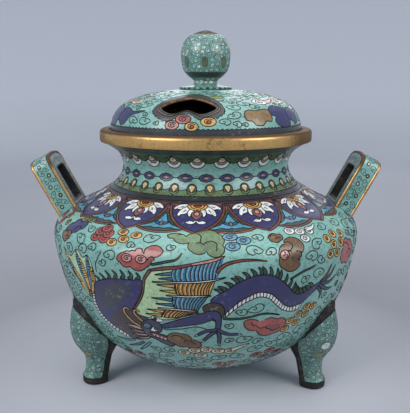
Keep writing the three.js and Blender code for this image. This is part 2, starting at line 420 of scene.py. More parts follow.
# shoulder: thirteen lotus panels on navy, with light blue points showing between them
def panel(angle, half_widths, shrink=0.0):
    """Half of a panel's outline mirrored about its middle, drawn in by some mm."""
    right = spline([(angle + w, v) for w, v in half_widths], 5)
    left = right[::-1] * [-1, 1] + [2 * angle, 0]
    whole = np.vstack([right, left[1:]])
    if not shrink:
        return whole
    scale = bowl.scale(whole)
    run = np.gradient(whole * scale, axis=0)
    run /= np.linalg.norm(run, axis=1)[:, None] + 1e-9
    return whole + np.stack([-run[:, 1], run[:, 0]], 1) * shrink / scale


lotus_count = 13
lotus_phase = -4.0
half_pitch = 180 / lotus_count
rear_panel = [(0.0, 28.8), (4.2, 29.8), (8.4, 32.6), (11.6, 37.2), (13.2, 43.5), (13.4, 52), (12.4, 60)]
front_panel = [(0.0, 28.8), (1.8, 30.6), (4.2, 33.4), (7.4, 38.8), (10.2, 45.6), (12.2, 52.6), (13.4, 59.6),
               (13.6, 66)]
for angle in around(lotus_count, lotus_phase + half_pitch):
    field.cell(panel(angle, rear_panel), red_brown)
    field.cell(panel(angle, rear_panel, 2.1), dark_green)
    right = [(1.2, 49), (2.2, 44), (4.4, 39.6), (8.8, 35.0), (6.6, 34.2), (4.0, 35.8), (1.8, 34.4)]
    tent = [(0, 54), *right, (0, 35.4), *[(-a, v) for a, v in right[::-1]]]
    field.cell([(angle + a, v) for a, v in tent], sky_blue)
    for lean in (-58, 58):
        field.cell(field.place(petal(8.0, 3.2), (angle, 39.0), lean), deep_blue)
    field.cell(field.place(petal(6.5, 3.4, 1, -1.0), (angle, 38.6)), glaze(120, 104, 92))
for angle in around(lotus_count, lotus_phase):
    field.cell(panel(angle, front_panel), red_brown)
    field.cell(panel(angle, front_panel, 2.3), navy)
    for side in (-1, 1):
        petals = ((6.4, -1.0, 78, 1.0), (5.0, -2.4, 46, 1.08), (3.0, -3.6, 18, 0.8))
        for root_x, root_y, lean, size in petals:
            curl = [(-1.6, 0), (-3.0, 3.4), (-3.0, 7.2), (-1.4, 10.6), (0.4, 12.4), (2.2, 12.0), (1.6, 9.8),
                    (2.6, 8.0), (3.2, 5.0), (1.8, 1.6)]
            shape_of = spline(curl, 2, closed=True) * [side * size, size]
            root_at = field.place([(side * root_x, root_y)], (angle, 63.6))[0]
            field.cell(field.place(shape_of, root_at, 180 + side * lean), white)
            if size > 0.9:
                comma = np.array([(-0.9, 4.6), (-0.2, 7.4), (0.9, 8.2), (0.5, 6.0), (0.2, 4.4)]) * [side, 1]
                field.cell(field.place(comma, root_at, 180 + side * lean), glaze(70, 66, 92), wire=False)
        leaf_arm = [(0, 2.6), (2.0, -0.4), (5.0, 1.0), (8.4, -1.2), (6.0, -3.4), (2.6, -3.4), (0.8, -2.0),
                    (0, -0.4)]
        field.cell(field.place(np.array(leaf_arm) * [side, 1], (angle, 44.4)), white)
    field.cell(field.place(petal(12.0, 8.4, 0.9, 2.6), (angle, 60.6), 180), glaze(126, 84, 84))
    field.cell(field.place(oval(4.4, 4.8, 12), (angle, 53.6)), pink)
    half_round = np.array([(8.2 * math.cos(a), -6.2 * math.sin(a)) for a in np.linspace(0, math.pi, 15)])
    field.cell(field.place(half_round, (angle, 63.4)), ochre)
    field.line(field.place(half_round * 0.68, (angle, 63.4)))
    field.cell(field.place(half_round * 0.4, (angle, 63.4)), brown)


# belly: a winged dragon among clouds on the front, and its fellow on the back
neck_end = len(field.wires)


def stripes(picture, top, bottom, count, colour, bulge=0.0, fill=0.5):
    """Curved bars between two edges, as on feathers and belly scales."""
    upper, lower = spline(top, 8), spline(bottom, 8)
    places = np.linspace(0, 1, 200)

    def edge(line, t):
        marks = np.linspace(0, 1, len(line))
        return np.stack([np.interp(t, marks, line[:, k]) for k in (0, 1)], -1)

    down = np.linspace(0, 1, 5)[:, None]
    for k in range(count):
        bars = []
        for t in ((k + 0.1) / count, (k + 0.1 + fill) / count):
            a, b = edge(upper, t), edge(lower, t)
            bars.append(a + (b - a) * down - np.array([[bulge, 0]]) * np.sin(math.pi * down))
        if colour:
            picture.cell(np.vstack([bars[0], bars[1][::-1]]), colour, wire=False)
        picture.line(bars[0])


def wing_row(turn, top, bottom, tongues, count, dark, light, bulge=0.55):
    """One row of wing feathers: a barred field that ends in thin tongues at its root."""
    shift = np.array([turn, 0.0])
    top, bottom = np.array(top, float) + shift, np.array(bottom, float) + shift
    for root, base, width in tongues:
        field.cell(field.limb([np.array(base, float) + shift + [1.2, 0], np.array(base, float) + shift,
                               np.array(root, float) + shift], [width, width, 0.3]), dark)
    field.cell(np.vstack([spline(top, 8), spline(bottom, 8)[::-1]]), dark)
    stripes(field, top, bottom, count, light, bulge)


def shifted(points, turn):
    return [(a + turn, v) for a, v in points]


def dragon(turn):
    """A four-clawed winged dragon of a common kind, drawn in enamel cells around one side of the belly."""
    def fill(points, colour, steps=4, wire=True):
        field.cell(spline(shifted(points, turn), steps, closed=True), colour, wire)

    def stroke(points, widths, colour):
        field.cell(field.limb(shifted(points, turn), widths), colour)

    def thread(points, width=None):
        field.line(spline(shifted(points, turn), 6), width)

    # far wing, spread up to the left behind the chest
    fan_root = (-43.4, -37)
    fill([(-57.6, -1), (-52.5, -6), (-48, 2), (-44.5, -3), (-42, 0), (-40.2, -6), (-39.4, -16), (-40, -28),
          (-42.4, -38), (-46.5, -36), (-50.5, -24), (-54, -12)], pale_green)
    fan_tips = [(-57.2, -2.5), (-54.6, -9), (-52.0, -16), (-48.6, 1.0), (-46.2, -5), (-42.2, -0.6),
                (-40.6, -9)]
    for k, tip in enumerate(fan_tips):
        colour = sky_blue if k % 2 else ochre
        middle = ((tip[0] + fan_root[0]) / 2 - 1.0 + 0.35 * k, (tip[1] + fan_root[1]) / 2)
        stroke([tip, middle, fan_root], [1.0, 5.2, 5.6, 2.6, 1.0], colour)
        side = 0.85
        stripes(field, shifted([(tip[0] + side, tip[1] - 3), (middle[0] + side, middle[1])], turn),
                shifted([(tip[0] - side * 0.4, tip[1] - 4), (middle[0] - side, middle[1] - 1)], turn), 8,
                cream if colour is ochre else deep_blue, 0, 0.45)
    stroke([(-42, -40), (-44.2, -36), (-43, -31)], [1.4, 4.4, 1.0], brown)

    # chest and coiled neck
    spine_roots = [(-37.5, -22), (-35.2, -19), (-32.8, -16.4), (-30.2, -14.4), (-27.4, -13.6), (-24.6, -13),
                   (-22, -13)]
    spine_tips = [(-39.2, -15.5), (-37.0, -12.2), (-34.2, -9.2), (-31.2, -7.2), (-28.0, -6), (-24.9, -5.6),
                  (-22.2, -6.2)]
    for base, tip in zip(spine_roots, spine_tips):
        bend = ((base[0] + tip[0]) / 2 + 0.9, (base[1] + tip[1]) / 2)
        stroke([base, bend, tip], [4.4, 2.6, 0.4], dark_green)
    fill([(-40.4, -24), (-37.6, -19.5), (-33, -15.8), (-28, -13.8), (-23.5, -13), (-20.4, -12.4),
          (-20.6, -20), (-22.2, -29), (-24.4, -37), (-25, -44), (-23, -50), (-20, -55), (-20, -62),
          (-23, -68), (-28.4, -73), (-33, -69), (-37, -63), (-40.2, -57), (-42, -50), (-42.4, -42),
          (-41.6, -33)], navy)
    fill([(-38, -24), (-31, -17), (-25, -16.4), (-24.6, -24), (-27.5, -33), (-31, -40), (-36, -46),
          (-40, -46), (-40.6, -34)],
         glaze(48, 51, 76), 4, False)
    fill([(-34, -22), (-28, -19), (-27, -26), (-31, -36), (-35, -40), (-37, -32)], glaze(54, 60, 68), 4,
         False)
    fill([(-30.4, -42), (-27, -38.6), (-22.8, -39.4), (-20, -45), (-19.6, -54), (-20, -62), (-22, -68),
          (-25.4, -73), (-29.6, -73.4), (-34, -69), (-36.4, -60), (-35, -50)], glaze(54, 44, 48), 4, False)
    chest_inner = [(-41.8, -34), (-42.6, -46), (-40.6, -56.5), (-36.4, -64), (-31, -70.5)]
    chest_outer = [(-42.9, -34), (-44.0, -46), (-42.2, -58.5), (-37.6, -67), (-31.4, -73.5)]
    stripes(field, shifted(chest_inner, turn), shifted(chest_outer, turn), 17, white, 0, 0.8)
    thread(chest_outer)

    # near wing: pale green root, brown leading edge, four rows of barred feathers
    fill([(-17.2, -3), (-19.2, -11), (-20.2, -22), (-21.8, -30), (-24.2, -38), (-23.2, -44), (-18, -46),
          (-12, -45.6), (-8, -41), (-6.5, -30), (-6, -20), (-6, -9), (-6, -1), (-11, -1)], pale_green)
    blue_dark, blue_light = glaze(50, 104, 136), glaze(104, 164, 186)
    wing_row(turn, [(-10, -1.0), (-4, 2.0), (1.0, 4.6), (5.6, 8.2)],
             [(-10, -11), (-4.5, -10.4), (0, -9.4), (3.4, -8.2)],
             [((-15.8, -6.4), (-10, -4.6), 3.6), ((-14.6, -9.4), (-10, -8.8), 3.4)], 12, blue_dark,
             blue_light)
    wing_row(turn, [(-9.5, -12.6), (-4.5, -12), (0, -11), (2.8, -9.8)],
             [(-9, -22.2), (-5, -22.4), (-1.4, -22.2), (1.2, -21.6)],
             [((-15.4, -14.6), (-9.5, -15), 3.4), ((-14.6, -19.4), (-9.2, -19.6), 3.4)], 11, ochre,
             glaze(150, 108, 56))
    wing_row(turn, [(-10.5, -24.2), (-6, -24), (-2.4, -23.8), (0.6, -23.2)],
             [(-10, -34), (-7, -34.4), (-4.6, -35), (-2.6, -35.4)],
             [((-17.6, -26.4), (-10.5, -26.8), 3.4), ((-16.4, -31.4), (-10.2, -31.4), 3.4)], 9, blue_dark,
             blue_light)
    wing_row(turn, [(-13, -36.4), (-9, -36.4), (-5.2, -36.8), (-2.0, -37.6)],
             [(-15, -43.6), (-11.4, -43.6), (-8.6, -42.4), (-5.8, -40.4)],
             [((-19.8, -37.4), (-13.4, -38.4), 3.0), ((-20.6, -42), (-14.6, -42), 3.0)], 9, ochre,
             glaze(170, 96, 60))
    for points in ([(-16.8, -12.6), (-10, -11.8), (-4.5, -11.2), (0, -10.2), (3, -9.0), (6, -7.2)],
                   [(-12.6, -23.2), (-5.5, -23.4), (1.6, -22.4)],
                   [(-15.8, -35.2), (-9, -35.4), (-2.4, -36.4)]):
        stroke(points, [0.8, 1.5, 1.5, 0.6], white)
    stroke([(-17.4, -3.2), (-12.8, -1.0), (-9, 0.2), (-4, 3.0)], [1.6, 2.6, 2.4, 1.6], red_brown)
    stroke([(-4.4, 2.8), (0, 4.8), (3, 6.4), (5.8, 9.0)], [1.6, 2.2, 2.0, 0.5], pink)
    stroke([(-17.2, -3), (-19.4, -11), (-20.4, -22), (-21.8, -29.5), (-24.2, -38), (-25.4, -40)],
           [2.6, 2.0, 1.8, 1.8, 1.4, 0.6], brown)

    # body, arched twice, with dark green spines above and white scales below
    ridge = [(1.6, -26), (6.2, -18.2), (10, -12.2), (14.3, -8), (18.5, -7.2), (22.5, -10.2), (26.6, -18),
             (29.8, -26), (32.6, -29.2), (36, -27.8), (39, -24.4), (43, -21.6)]
    keel = [(6.4, -38.6), (10.2, -29.6), (14, -24.2), (17.2, -21.8), (21, -24), (24.4, -30.6), (27.4, -37),
            (30.8, -40), (34.8, -38.4), (37.6, -33.4), (41, -28.4), (44.5, -25)]
    spine = spline(shifted(ridge, turn), 4)
    marks = np.linspace(3, len(spine) - 6, 22).astype(int)
    for k in marks:
        run = (spine[k + 1] - spine[k - 1]) * bowl.scale(spine[k:k + 1])[0]
        lean = math.degrees(math.atan2(run[1], run[0]))
        claw = spline([(-1.9, -1.0), (-1.6, 2.4), (-3.4, 6.6), (-0.2, 4.6), (1.5, 1.4), (1.7, -1.0)], 3,
                      closed=True)
        field.cell(field.place(claw, spine[k], lean), dark_green)
    fill([*ridge, *keel[::-1], (3.2, -38)], navy)
    scale_low = [(6.4, -42.4), (10.0, -34.2), (13.9, -28.4), (17.4, -25.8), (20.6, -28), (23.6, -34.6),
                 (26.9, -41.2), (31, -44.6), (34.4, -43.6)]
    field.cell(np.vstack([spline(shifted(keel[:9], turn), 5), spline(shifted(scale_low, turn), 5)[::-1]]),
               white)
    stripes(field, shifted(keel[:9], turn), shifted(scale_low, turn), 24, None)
    for points, widths, colour in (([(42, -24), (45, -18), (46.8, -10)], [4, 3, 0.5], red_brown),
                                   ([(42, -24), (47, -20), (49.5, -12)], [3, 3, 0.5], navy),
                                   ([(42, -25), (48, -26), (51.4, -22)], [3.4, 2.6, 0.5], dark_green),
                                   ([(42, -26), (46.5, -32), (50.5, -33)], [3.2, 2.8, 0.5], navy),
                                   ([(41, -27), (43.6, -33.5), (43.6, -40)], [3.2, 2.6, 0.5], dark_green)):
        stroke(points, widths, colour)
    field.cell(field.place(oval(6.0, 5.0, 12), (54 + turn, -32)), navy)

    # haunch, foreleg and claws
    fill([(-1, -32.4), (1.4, -28.6), (4.2, -29.4), (6, -34.6), (5.6, -42), (2.6, -45.4), (0, -39)],
         glaze(58, 42, 34))
    stroke([(-15.6, -53.6), (-8.4, -48.0), (-2, -43.6), (2.6, -40), (4.2, -46), (4.0, -57)],
           [3.4, 7.2, 9.5, 8.4, 4.6, 3.2], navy)
    for points in ([(4, -55), (1.6, -60), (-0.8, -66.5)], [(4, -55), (4.8, -62), (4.9, -70)],
                   [(4, -55), (7.6, -59.6), (11.4, -60.6)], [(4, -55), (0.2, -56), (-2.8, -60)]):
        stroke(points, [3.4, 3.0, 2.4], navy)
        tip, back = np.array(points[-1], float), np.array(points[-2], float)
        stroke([tip, tip + (tip - back) * 0.45], [2.2, 0.4], white)
    thread([(-14.8, -56), (-8.5, -54.4), (-3.5, -51.6), (0.5, -54)], 0.9)

    # head, horns and mane
    mane_light = glaze(176, 150, 142)
    mane_dark = glaze(150, 120, 110)
    horn = glaze(186, 150, 92)
    for points, widths, colour in (
            ([(-22.6, -59.6), (-26, -58), (-30.2, -57.4)], [2.4, 3.4, 0.6], mane_light),
            ([(-22.0, -62.6), (-25.4, -62.6), (-29.0, -61.6)], [2.0, 2.6, 0.6], mane_dark),
            ([(-21.6, -65), (-24.6, -66), (-28.4, -66.6)], [2.0, 2.6, 0.6], mane_light),
            ([(-21.0, -67), (-23.6, -69.6), (-27.6, -71.6)], [2.0, 2.6, 0.6], mane_dark),
            ([(-28.5, -74), (-33, -77), (-38.5, -77)], [1.6, 2.6, 0.5], sky_blue),
            ([(-24.5, -74.6), (-28, -80), (-33.5, -85)], [1.8, 2.6, 0.5], deep_blue),
            ([(-21.6, -73.6), (-24.4, -80), (-28.5, -88)], [1.8, 2.6, 0.5], sky_blue),
            ([(-22.8, -57.4), (-26.4, -53.2), (-28.8, -46.6), (-29.2, -42), (-28.4, -39.8), (-27.2, -40.2),
              (-27.0, -42.0)], [2.2, 2.6, 2.4, 2.0, 1.8, 1.4], horn),
            ([(-21.8, -51.6), (-23.8, -47.6), (-25.0, -43.8), (-24.8, -40.8), (-23.4, -40.2),
              (-23.0, -41.8)], [2.2, 2.4, 2.0, 1.8, 1.4], horn)):
        stroke(points, widths, colour)
    fill([(-23.6, -57.0), (-22.6, -51.6), (-20.6, -48.4), (-18.4, -47.4), (-16.2, -49.4), (-15.4, -53.6),
          (-15.8, -58.4), (-17.2, -61.4), (-14.4, -63.0), (-12.2, -67.4), (-12.0, -72.2), (-13.4, -75.4),
          (-16.0, -73.0), (-18.6, -69.0), (-21.0, -66.4), (-22.8, -62.6)],
         glaze(44, 54, 78))
    fill([(-20.4, -61.8), (-18.4, -61.6), (-15.6, -63.6), (-13.6, -66.6), (-13.2, -69.6), (-15.6, -67.8),
          (-18.8, -65.4)],
         glaze(150, 66, 58))
    thread([(-20.6, -66.0), (-18.0, -69.4), (-15.6, -73.4), (-13.0, -75.8), (-11.6, -72.6), (-11.8, -67.6)],
           0.8)
    for k in range(5):
        tooth = [(-19.6 + 1.4 * k, -63.2 - 0.9 * k), (-18.8 + 1.4 * k, -63.4 - 1.0 * k),
                 (-19.0 + 1.4 * k, -65.2 - 1.1 * k)]
        field.cell(shifted(tooth, turn), white, wire=False)
    field.cell(field.place(oval(7.4, 5.6, 14), (-21.0 + turn, -54.6), 24), glaze(70, 104, 126))
    field.cell(field.place([(-3.4, -1.8), (0.2, 2.6), (3.0, 2.0), (3.4, -1.4), (0.4, -3.0)],
                           (-18.8 + turn, -57.2)), white)
    field.cell(field.place(oval(2.8, 2.8, 10), (-17.9 + turn, -56.6)), iron)
    field.cell(field.place([(-5.2, 1.2), (-2.4, 3.0), (3.2, 1.0), (6.0, -1.8), (1.0, -2.6), (-2.2, -1.4)],
                           (-16.9 + turn, -46.4)), white)
    field.cell(field.place(oval(2.8, 3.0, 10), (-17.4 + turn, -46.2)), iron)

    # whiskers and flames
    stroke([(3.4, -3.4), (4.6, 0.4), (7, 3.6), (11, 5.2), (15, 5.0), (19, 3.4)], [2.4, 2.6, 2.0, 1.4, 0.5],
           red_brown)
    stroke([(27.8, -14), (32.5, -9.4), (35.5, -8), (38, -6.2)], [1.4, 1.8, 1.4, 0.4], dark_green)
    stroke([(5.8, -43.4), (9.5, -44.4), (14, -44), (19, -42), (22.5, -43), (26, -45.6)],
           [2.0, 1.8, 1.4, 0.5], dark_green)
    stroke([(-16.8, 1.2), (-12, 4.2), (-9, 6.2), (-7.4, 11)], [1.6, 1.6, 1.2, 0.4], dark_green)
    thread([(-35.6, 5.2), (-37.0, -0.4), (-38.2, -6.8), (-38, -12.6)], 0.8)


def lobe(where, width, height, colour, core=None, turn=0.0):
    """One rolled cloud head: an oval cell with a spiral wire, and a dot of colour in its eye."""
    field.cell(field.place(oval(width, height, 16), where, turn), colour)
    if core:
        field.cell(field.place(oval(width * 0.34, height * 0.4, 10), where, turn), core, wire=False)
    field.line(field.place(spiral(width * 0.66, height * 0.66, 1.4, 16, 0.6), where, turn))


def mass(points, colour):
    """A cloud in one colour, with a lobed outline, a lighter patch up and to the left on the map and a
    darker one down and to the right: partly the enamel's own shaded tones, partly painted highlight and
    shade.
    """
    points = np.array(points, float)
    scale = bowl.scale(points.mean(0, keepdims=True))
    a = points * scale
    b = np.roll(a, -1, axis=0)
    area = (a[:, 0] * b[:, 1] - b[:, 0] * a[:, 1]).sum()
    bulge = np.stack([b[:, 1] - a[:, 1], a[:, 0] - b[:, 0]], 1) * (0.24 if area > 0 else -0.24)
    steps = (0.0, 0.12, 0.3, 0.5, 0.7, 0.88)
    lobes = [a + (b - a) * t + bulge * math.sin(math.pi * t) ** 0.7 for t in steps]
    edge = np.stack(lobes, 1).reshape(-1, 2) / scale
    field.cell(edge, colour)
    middle = points.mean(0)
    # Partly shaded enamel and partly painted highlight and shade: the lighter patch always sits up and to
    # the left, the darker one down and to the right.
    for share, shade, away in ((0.42, 1.25, (-0.4, 0.5)), (0.36, 0.7, (0.5, -0.45))):
        shift = np.array(away) * np.ptp(points, axis=0) * 0.34
        field.cell(middle + shift + (edge - middle) * share, tuple(min(1.0, c * shade) for c in colour),
                   wire=False)
        field.line(middle + shift + (edge[:len(edge) // 2] - middle) * share)


def clouds(turn):
    """The coloured clouds around one dragon, from the shoulder down to the underside."""
    def head(angle, along, width, height, colour, core=None, lean=0.0):
        lobe((angle + turn, along), width, height, colour, core, lean)

    def heads(spots, width, height, colour, core=None):
        for angle, along in spots:
            head(angle, along, width, height, colour, core)

    def bank(points, colour):
        mass(shifted(points, turn), colour)

    bank([(-13.4, 27), (-5.8, 23), (-1.6, 31.4), (4.4, 29.4), (5.4, 18), (4.2, 8.8), (0.2, 13),
          (-4.4, 12.6), (-5.4, 20.6), (-11, 24)],
         glaze(92, 120, 80))
    heads(((8.2, 25.6), (12.6, 21.6), (8.6, 16.6)), 11.5, 7.6, sky_blue)
    heads(((-40.6, 16.6), (-36.4, 16.4), (-40.2, 22.4), (-36, 21.6), (-38.2, 26.4)), 10.5, 8.4, red)
    heads(((-32.6, 14.6), (-28.6, 18.8), (-30.4, 25.4), (-24.6, 24.0)), 9.6, 6.8, ochre, red)
    bank([(-29, 3.4), (-24.2, 7.4), (-19.4, 8.6), (-18.6, 14.4), (-13.4, 12), (-17, 7.4), (-18.6, -1.4),
          (-24, -2), (-27.8, 0.6)], red)
    heads(((-25.4, 4.2), (-20.4, 4.4)), 9.0, 6.4, pink)
    bank([(21.6, 21), (22.4, 24.6), (25.2, 24.8), (27, 22), (25.4, 18.6), (23, 17.8)], brown)
    bank([(27.6, 19), (33.2, 14.4), (31.4, 5.8), (27.6, 3.4), (31, -3.2), (25.2, -4.8), (23.4, 5),
          (26.4, 15)], brown)
    bank([(24.4, 3.4), (26.6, 4.6), (26.6, 9), (25.2, 9.8), (23.8, 6)], pink)
    for angle, along, width in ((31.2, 26.4, 10), (35.2, 24.2, 10.5), (35.6, 17.0, 9), (39.6, 23.0, 8)):
        head(angle, along, width, 7.2, white)
    field.cell(field.limb(shifted([(38.6, 25), (42, 25.6), (44.6, 29)], turn), [4.6, 3.4, 0.6]), white)
    heads(((45.2, 12.4), (49.8, 14.8), (54.6, 12.6), (47.8, 6.2), (52.4, 5.8), (45.4, -0.6), (49.6, -1.6)),
          8.6, 7.4, ochre, brown)
    bank([(54.8, 6), (58.4, 4.4), (62, -1.4), (64, -8), (61.6, -14), (56.8, -13.6), (53, -10), (52.4, -4.4),
          (54.4, 0)], red)
    bank([(13, -47.6), (18.2, -58.6), (25.6, -64.8), (30, -56), (25.2, -49.4), (19, -51.6)], red)
    heads(((38, -43.6), (41.6, -45.4), (34.8, -49.4), (38.6, -51.8), (31.6, -54.4), (35, -58.4),
           (30.4, -62.6)), 8.2, 6.6, ochre)
    bank([(-14.2, -64.6), (-8.8, -59.6), (-5, -66), (-1.6, -73), (-7.2, -74.2), (-12, -71)], brown)
    for angle, along, width in ((-8.6, -83, 10), (-4.4, -79.4, 10.5), (0.4, -77.8, 10.5), (4.8, -80.2, 11),
                                (-2, -86.4, 11), (9.6, -80.6, 9.6)):
        head(angle, along, width, 7.4, cream)
    field.cell(field.limb(shifted([(10, -80), (13, -76.6), (16.6, -73)], turn), [4.6, 3.4, 0.6]), cream)
    for angle, along, colour in ((-38, -100, red), (-31, -97, red), (22, -92, red), (28, -89, red),
                                 (33, -95, red), (27, -99, red), (6, -104, pink), (12, -103, pink),
                                 (9, -111, pink)):
        head(angle, along, 10.5, 8.4, colour)
    # the near side of the flank, which the photograph's edge only just shows
    bank([(-60.5, 14), (-58.4, 22), (-56.8, 28), (-51.6, 27), (-49.2, 23), (-51.4, 18.6), (-53.4, 14),
          (-56, 12.4)], navy)
    bank([(-61, 10), (-58, 13), (-54.2, 11.2), (-55.6, 6.6), (-59, 5)], brown)
    heads(((-54.6, 29.6), (-50, 30.6), (-63.6, 19.4)), 8.6, 6.6, olive)
    # the sides between the two dragons
    for angle, along, colour in ((72, 14, sky_blue), (77, 19, sky_blue), (78, 11, sky_blue),
                                 (96, -8, ochre), (101, -3, ochre), (102, -12, ochre), (88, -34, white),
                                 (93, -38, white), (87, -43, white), (66, -34, red), (71, -40, red),
                                 (65, -45, red), (106, -40, olive), (110, -34, olive), (104, 22, red),
                                 (109, 17, red), (111, 25, red)):
        head(angle, along, 11, 8.4, colour, brown if colour is ochre else None)
    bank([(82, -12), (86, -7), (90, -9), (93, -15), (90, -21), (86, -18), (83, -22), (80, -17)], navy)
    bank([(70, -8), (74, -4), (77, -8), (75, -14), (71, -15)], brown)
    bank([(88, 20), (92, 25), (97, 22), (96, 15), (91, 13)], glaze(92, 120, 80))


for turn in (0, -180):
    dragon(turn)
    clouds(turn)


class Free:
    """Keeps count of the ground inside a border that no motif covers."""

    def __init__(self, picture, border, margin):
        self.surface = picture.surface
        self.fine = 0.5
        self.low = border.min(0)
        self.high = border.max(0)
        columns, rows = ((self.high - self.low) / self.fine).astype(int) + 1
        grid = np.stack(np.meshgrid(np.arange(columns), np.arange(rows)), -1) * self.fine + self.low
        self.spots = grid
        self.taken = ~inside(border, grid.reshape(-1, 2)).reshape(rows, columns)
        for outline, _ in picture.cells:
            for jump in picture.jumps:
                moved = outline + [jump, 0]
                part = self.part(moved.min(0), moved.max(0))
                if self.spots[part].size:
                    covered = inside(moved, self.spots[part].reshape(-1, 2))
                    self.taken[part] |= covered.reshape(self.taken[part].shape)
        for path, _, _ in picture.wires:
            reach = margin / self.surface.scale(path)
            for jump in picture.jumps:
                for low, high in zip(path - reach + [jump, 0], path + reach + [jump, 0]):
                    self.taken[self.part(low, high)] = True

    def part(self, low, high):
        start = np.maximum(((low - self.low) / self.fine).astype(int), 0)
        stop = np.maximum(((high - self.low) / self.fine).astype(int) + 1, 0)
        return slice(start[1], stop[1]), slice(start[0], stop[0])

    def fits(self, where, size):
        if self.taken[self.part(where, where)].any():
            return False
        reach = np.array(size) / 2 / self.surface.scale(np.array([where]))[0]
        if (where - reach < self.low).any() or (where + reach > self.high).any():
            return False
        part = self.part(where - reach, where + reach)
        within = (((self.spots[part] - where) / reach) ** 2).sum(-1) < 1
        if (self.taken[part] & within).any():
            return False
        self.taken[part] |= within
        return True


def scroll_cloud(width, height, flip, turn_in):
    """A small cloud drawn with one wire: a humped loop with a tail, rolling into a curl."""
    loop = [(0.16, -0.02), (0.05, 0.12), (-0.05, -0.02), (0.02, -0.22), (0.22, -0.30), (0.42, -0.14),
            (0.50, 0.08), (0.32, 0.28), (0.08, 0.46), (-0.20, 0.47), (-0.43, 0.26), (-0.50, -0.06),
            (-0.36, -0.38), (-0.12, -0.50), (0.05, -0.36)]
    return np.array(loop) * [width * flip, height * turn_in]


def scatter(picture, border, sizes, seed, tries, margin=0.6, lean=16, fills=None):
    """Fills the open ground of a picture with scroll clouds, the larger ones first."""
    draw = random.Random(seed)
    border = np.asarray(border, float)
    ground = Free(picture, border, margin)
    placed = []
    for width, height in sizes:
        for _ in range(tries):
            where = np.array([draw.uniform(*border[:,
                    k][[np.argmin(border[:, k]), np.argmax(border[:, k])]]) for k in (0, 1)])
            if ground.fits(where, (width + margin, height + margin)):
                placed.append((where, width, height, draw.choice((-1, 1)), draw.choice((-1, 1)),
                               draw.uniform(-lean, lean)))
    for where, width, height, flip, turn_in, tilt in placed:
        scroll = picture.place(scroll_cloud(width, height, flip, turn_in), where, tilt)
        if fills:
            picture.cell(picture.place(oval(width, height, 9), where, tilt), draw.choice(fills), wire=False)
        picture.line(scroll)


def ring_border(surface, low, high, wide, tall):
    """The edge of a map that runs all the way round a turned form."""
    columns = np.linspace(-180, 180, int(360 / wide) + 1)
    rows = np.linspace(low, high, int((high - low) / tall) + 1)
    return np.concatenate([np.stack([columns, 0 * columns + low], 1), np.stack([0 * rows + 180, rows], 1),
                           np.stack([columns[::-1], 0 * columns + high], 1),
                           np.stack([0 * rows - 180, rows[::-1]], 1)])


def enamel_sheet(name, picture, border, ground, wide=4.0, tall=4.5):
    """The picture's cells as one sheet of triangles on its surface. A cell without a glaze is a hole."""
    surface = picture.surface
    border = np.asarray(border, float)
    low, high = border.min(0), border.max(0)
    stretch = surface.scale(border).mean(0)
    columns = np.linspace(low[0], high[0], int((high[0] - low[0]) / wide) + 1)
    rows = np.linspace(low[1], high[1], int((high[1] - low[1]) / tall) + 1)
    points = [np.stack(np.meshgrid(columns, rows), -1).reshape(-1, 2)]
    outlines = [(border, ground)]
    for outline, colour in picture.cells:
        for jump in picture.jumps:
            moved = outline + [jump, 0]
            if (moved.max(0) > low).all() and (moved.min(0) < high).all():
                outlines.append((moved, colour))
    edges = []
    total = len(points[0])
    for outline, _ in outlines:
        count = len(outline)
        edges.extend((total + k, total + (k + 1) % count) for k in range(count))
        points.append(outline)
        total += count
    corners = (np.vstack(points) * stretch).tolist()
    verts, _, faces, _, _, _ = delaunay_2d_cdt(corners, edges, [], 0, 1e-4, False)
    flat = np.array([tuple(v) for v in verts]) / stretch
    faces = np.array(faces)
    middles = flat[faces].mean(1)
    shades = np.zeros((len(faces), 4))
    for outline, colour in outlines:
        near = ((middles > outline.min(0)) & (middles < outline.max(0))).all(1).nonzero()[0]
        if len(near):
            shades[near[inside(outline, middles[near])]] = (*colour, 1.0) if colour else 0.0
    kept = (shades[:, 3] > 0) & inside(border, middles)
    mesh = bpy.data.meshes.new(name)
    mesh.from_pydata(surface.at(flat), [], faces[kept].tolist())
    tint = mesh.color_attributes.new("glaze", "FLOAT_COLOR", "CORNER")
    tint.data.foreach_set("color", np.repeat(shades[kept], 3, axis=0).ravel())
    shape = laid_open(mesh)
    bmesh.ops.remove_doubles(shape, verts=shape.verts, dist=2e-6)
    bmesh.ops.delete(shape, geom=[v for v in shape.verts if not v.link_faces], context="VERTS")
    shape.to_mesh(mesh)
    shape.free()
    return mesh


def true_shading(mesh, surface):
    """Shades the turned outside as the smooth form that its triangles stand for."""
    spots = np.empty(len(mesh.vertices) * 3)
    mesh.vertices.foreach_get("co", spots)
    spots = spots.reshape(-1, 3)
    normals = np.empty(len(mesh.vertices) * 3)
    mesh.vertices.foreach_get("normal", normals)
    normals = normals.reshape(-1, 3)
    outer = np.zeros(len(spots), bool)
    for face in mesh.polygons:
        if face.material_index == 0:
            outer[list(face.vertices)] = True
    radius = np.hypot(spots[:, 0], spots[:, 1]) + 1e-9
    height = spots[:, 2] / MM
    out, up = (np.interp(height, surface.heights, part) for part in (surface.out, surface.up))
    smooth = np.stack([spots[:, 0] / radius * out, spots[:, 1] / radius * out, up], 1)
    normals[outer] = smooth[outer]
    mesh.normals_split_custom_set_from_vertices(normals.tolist())


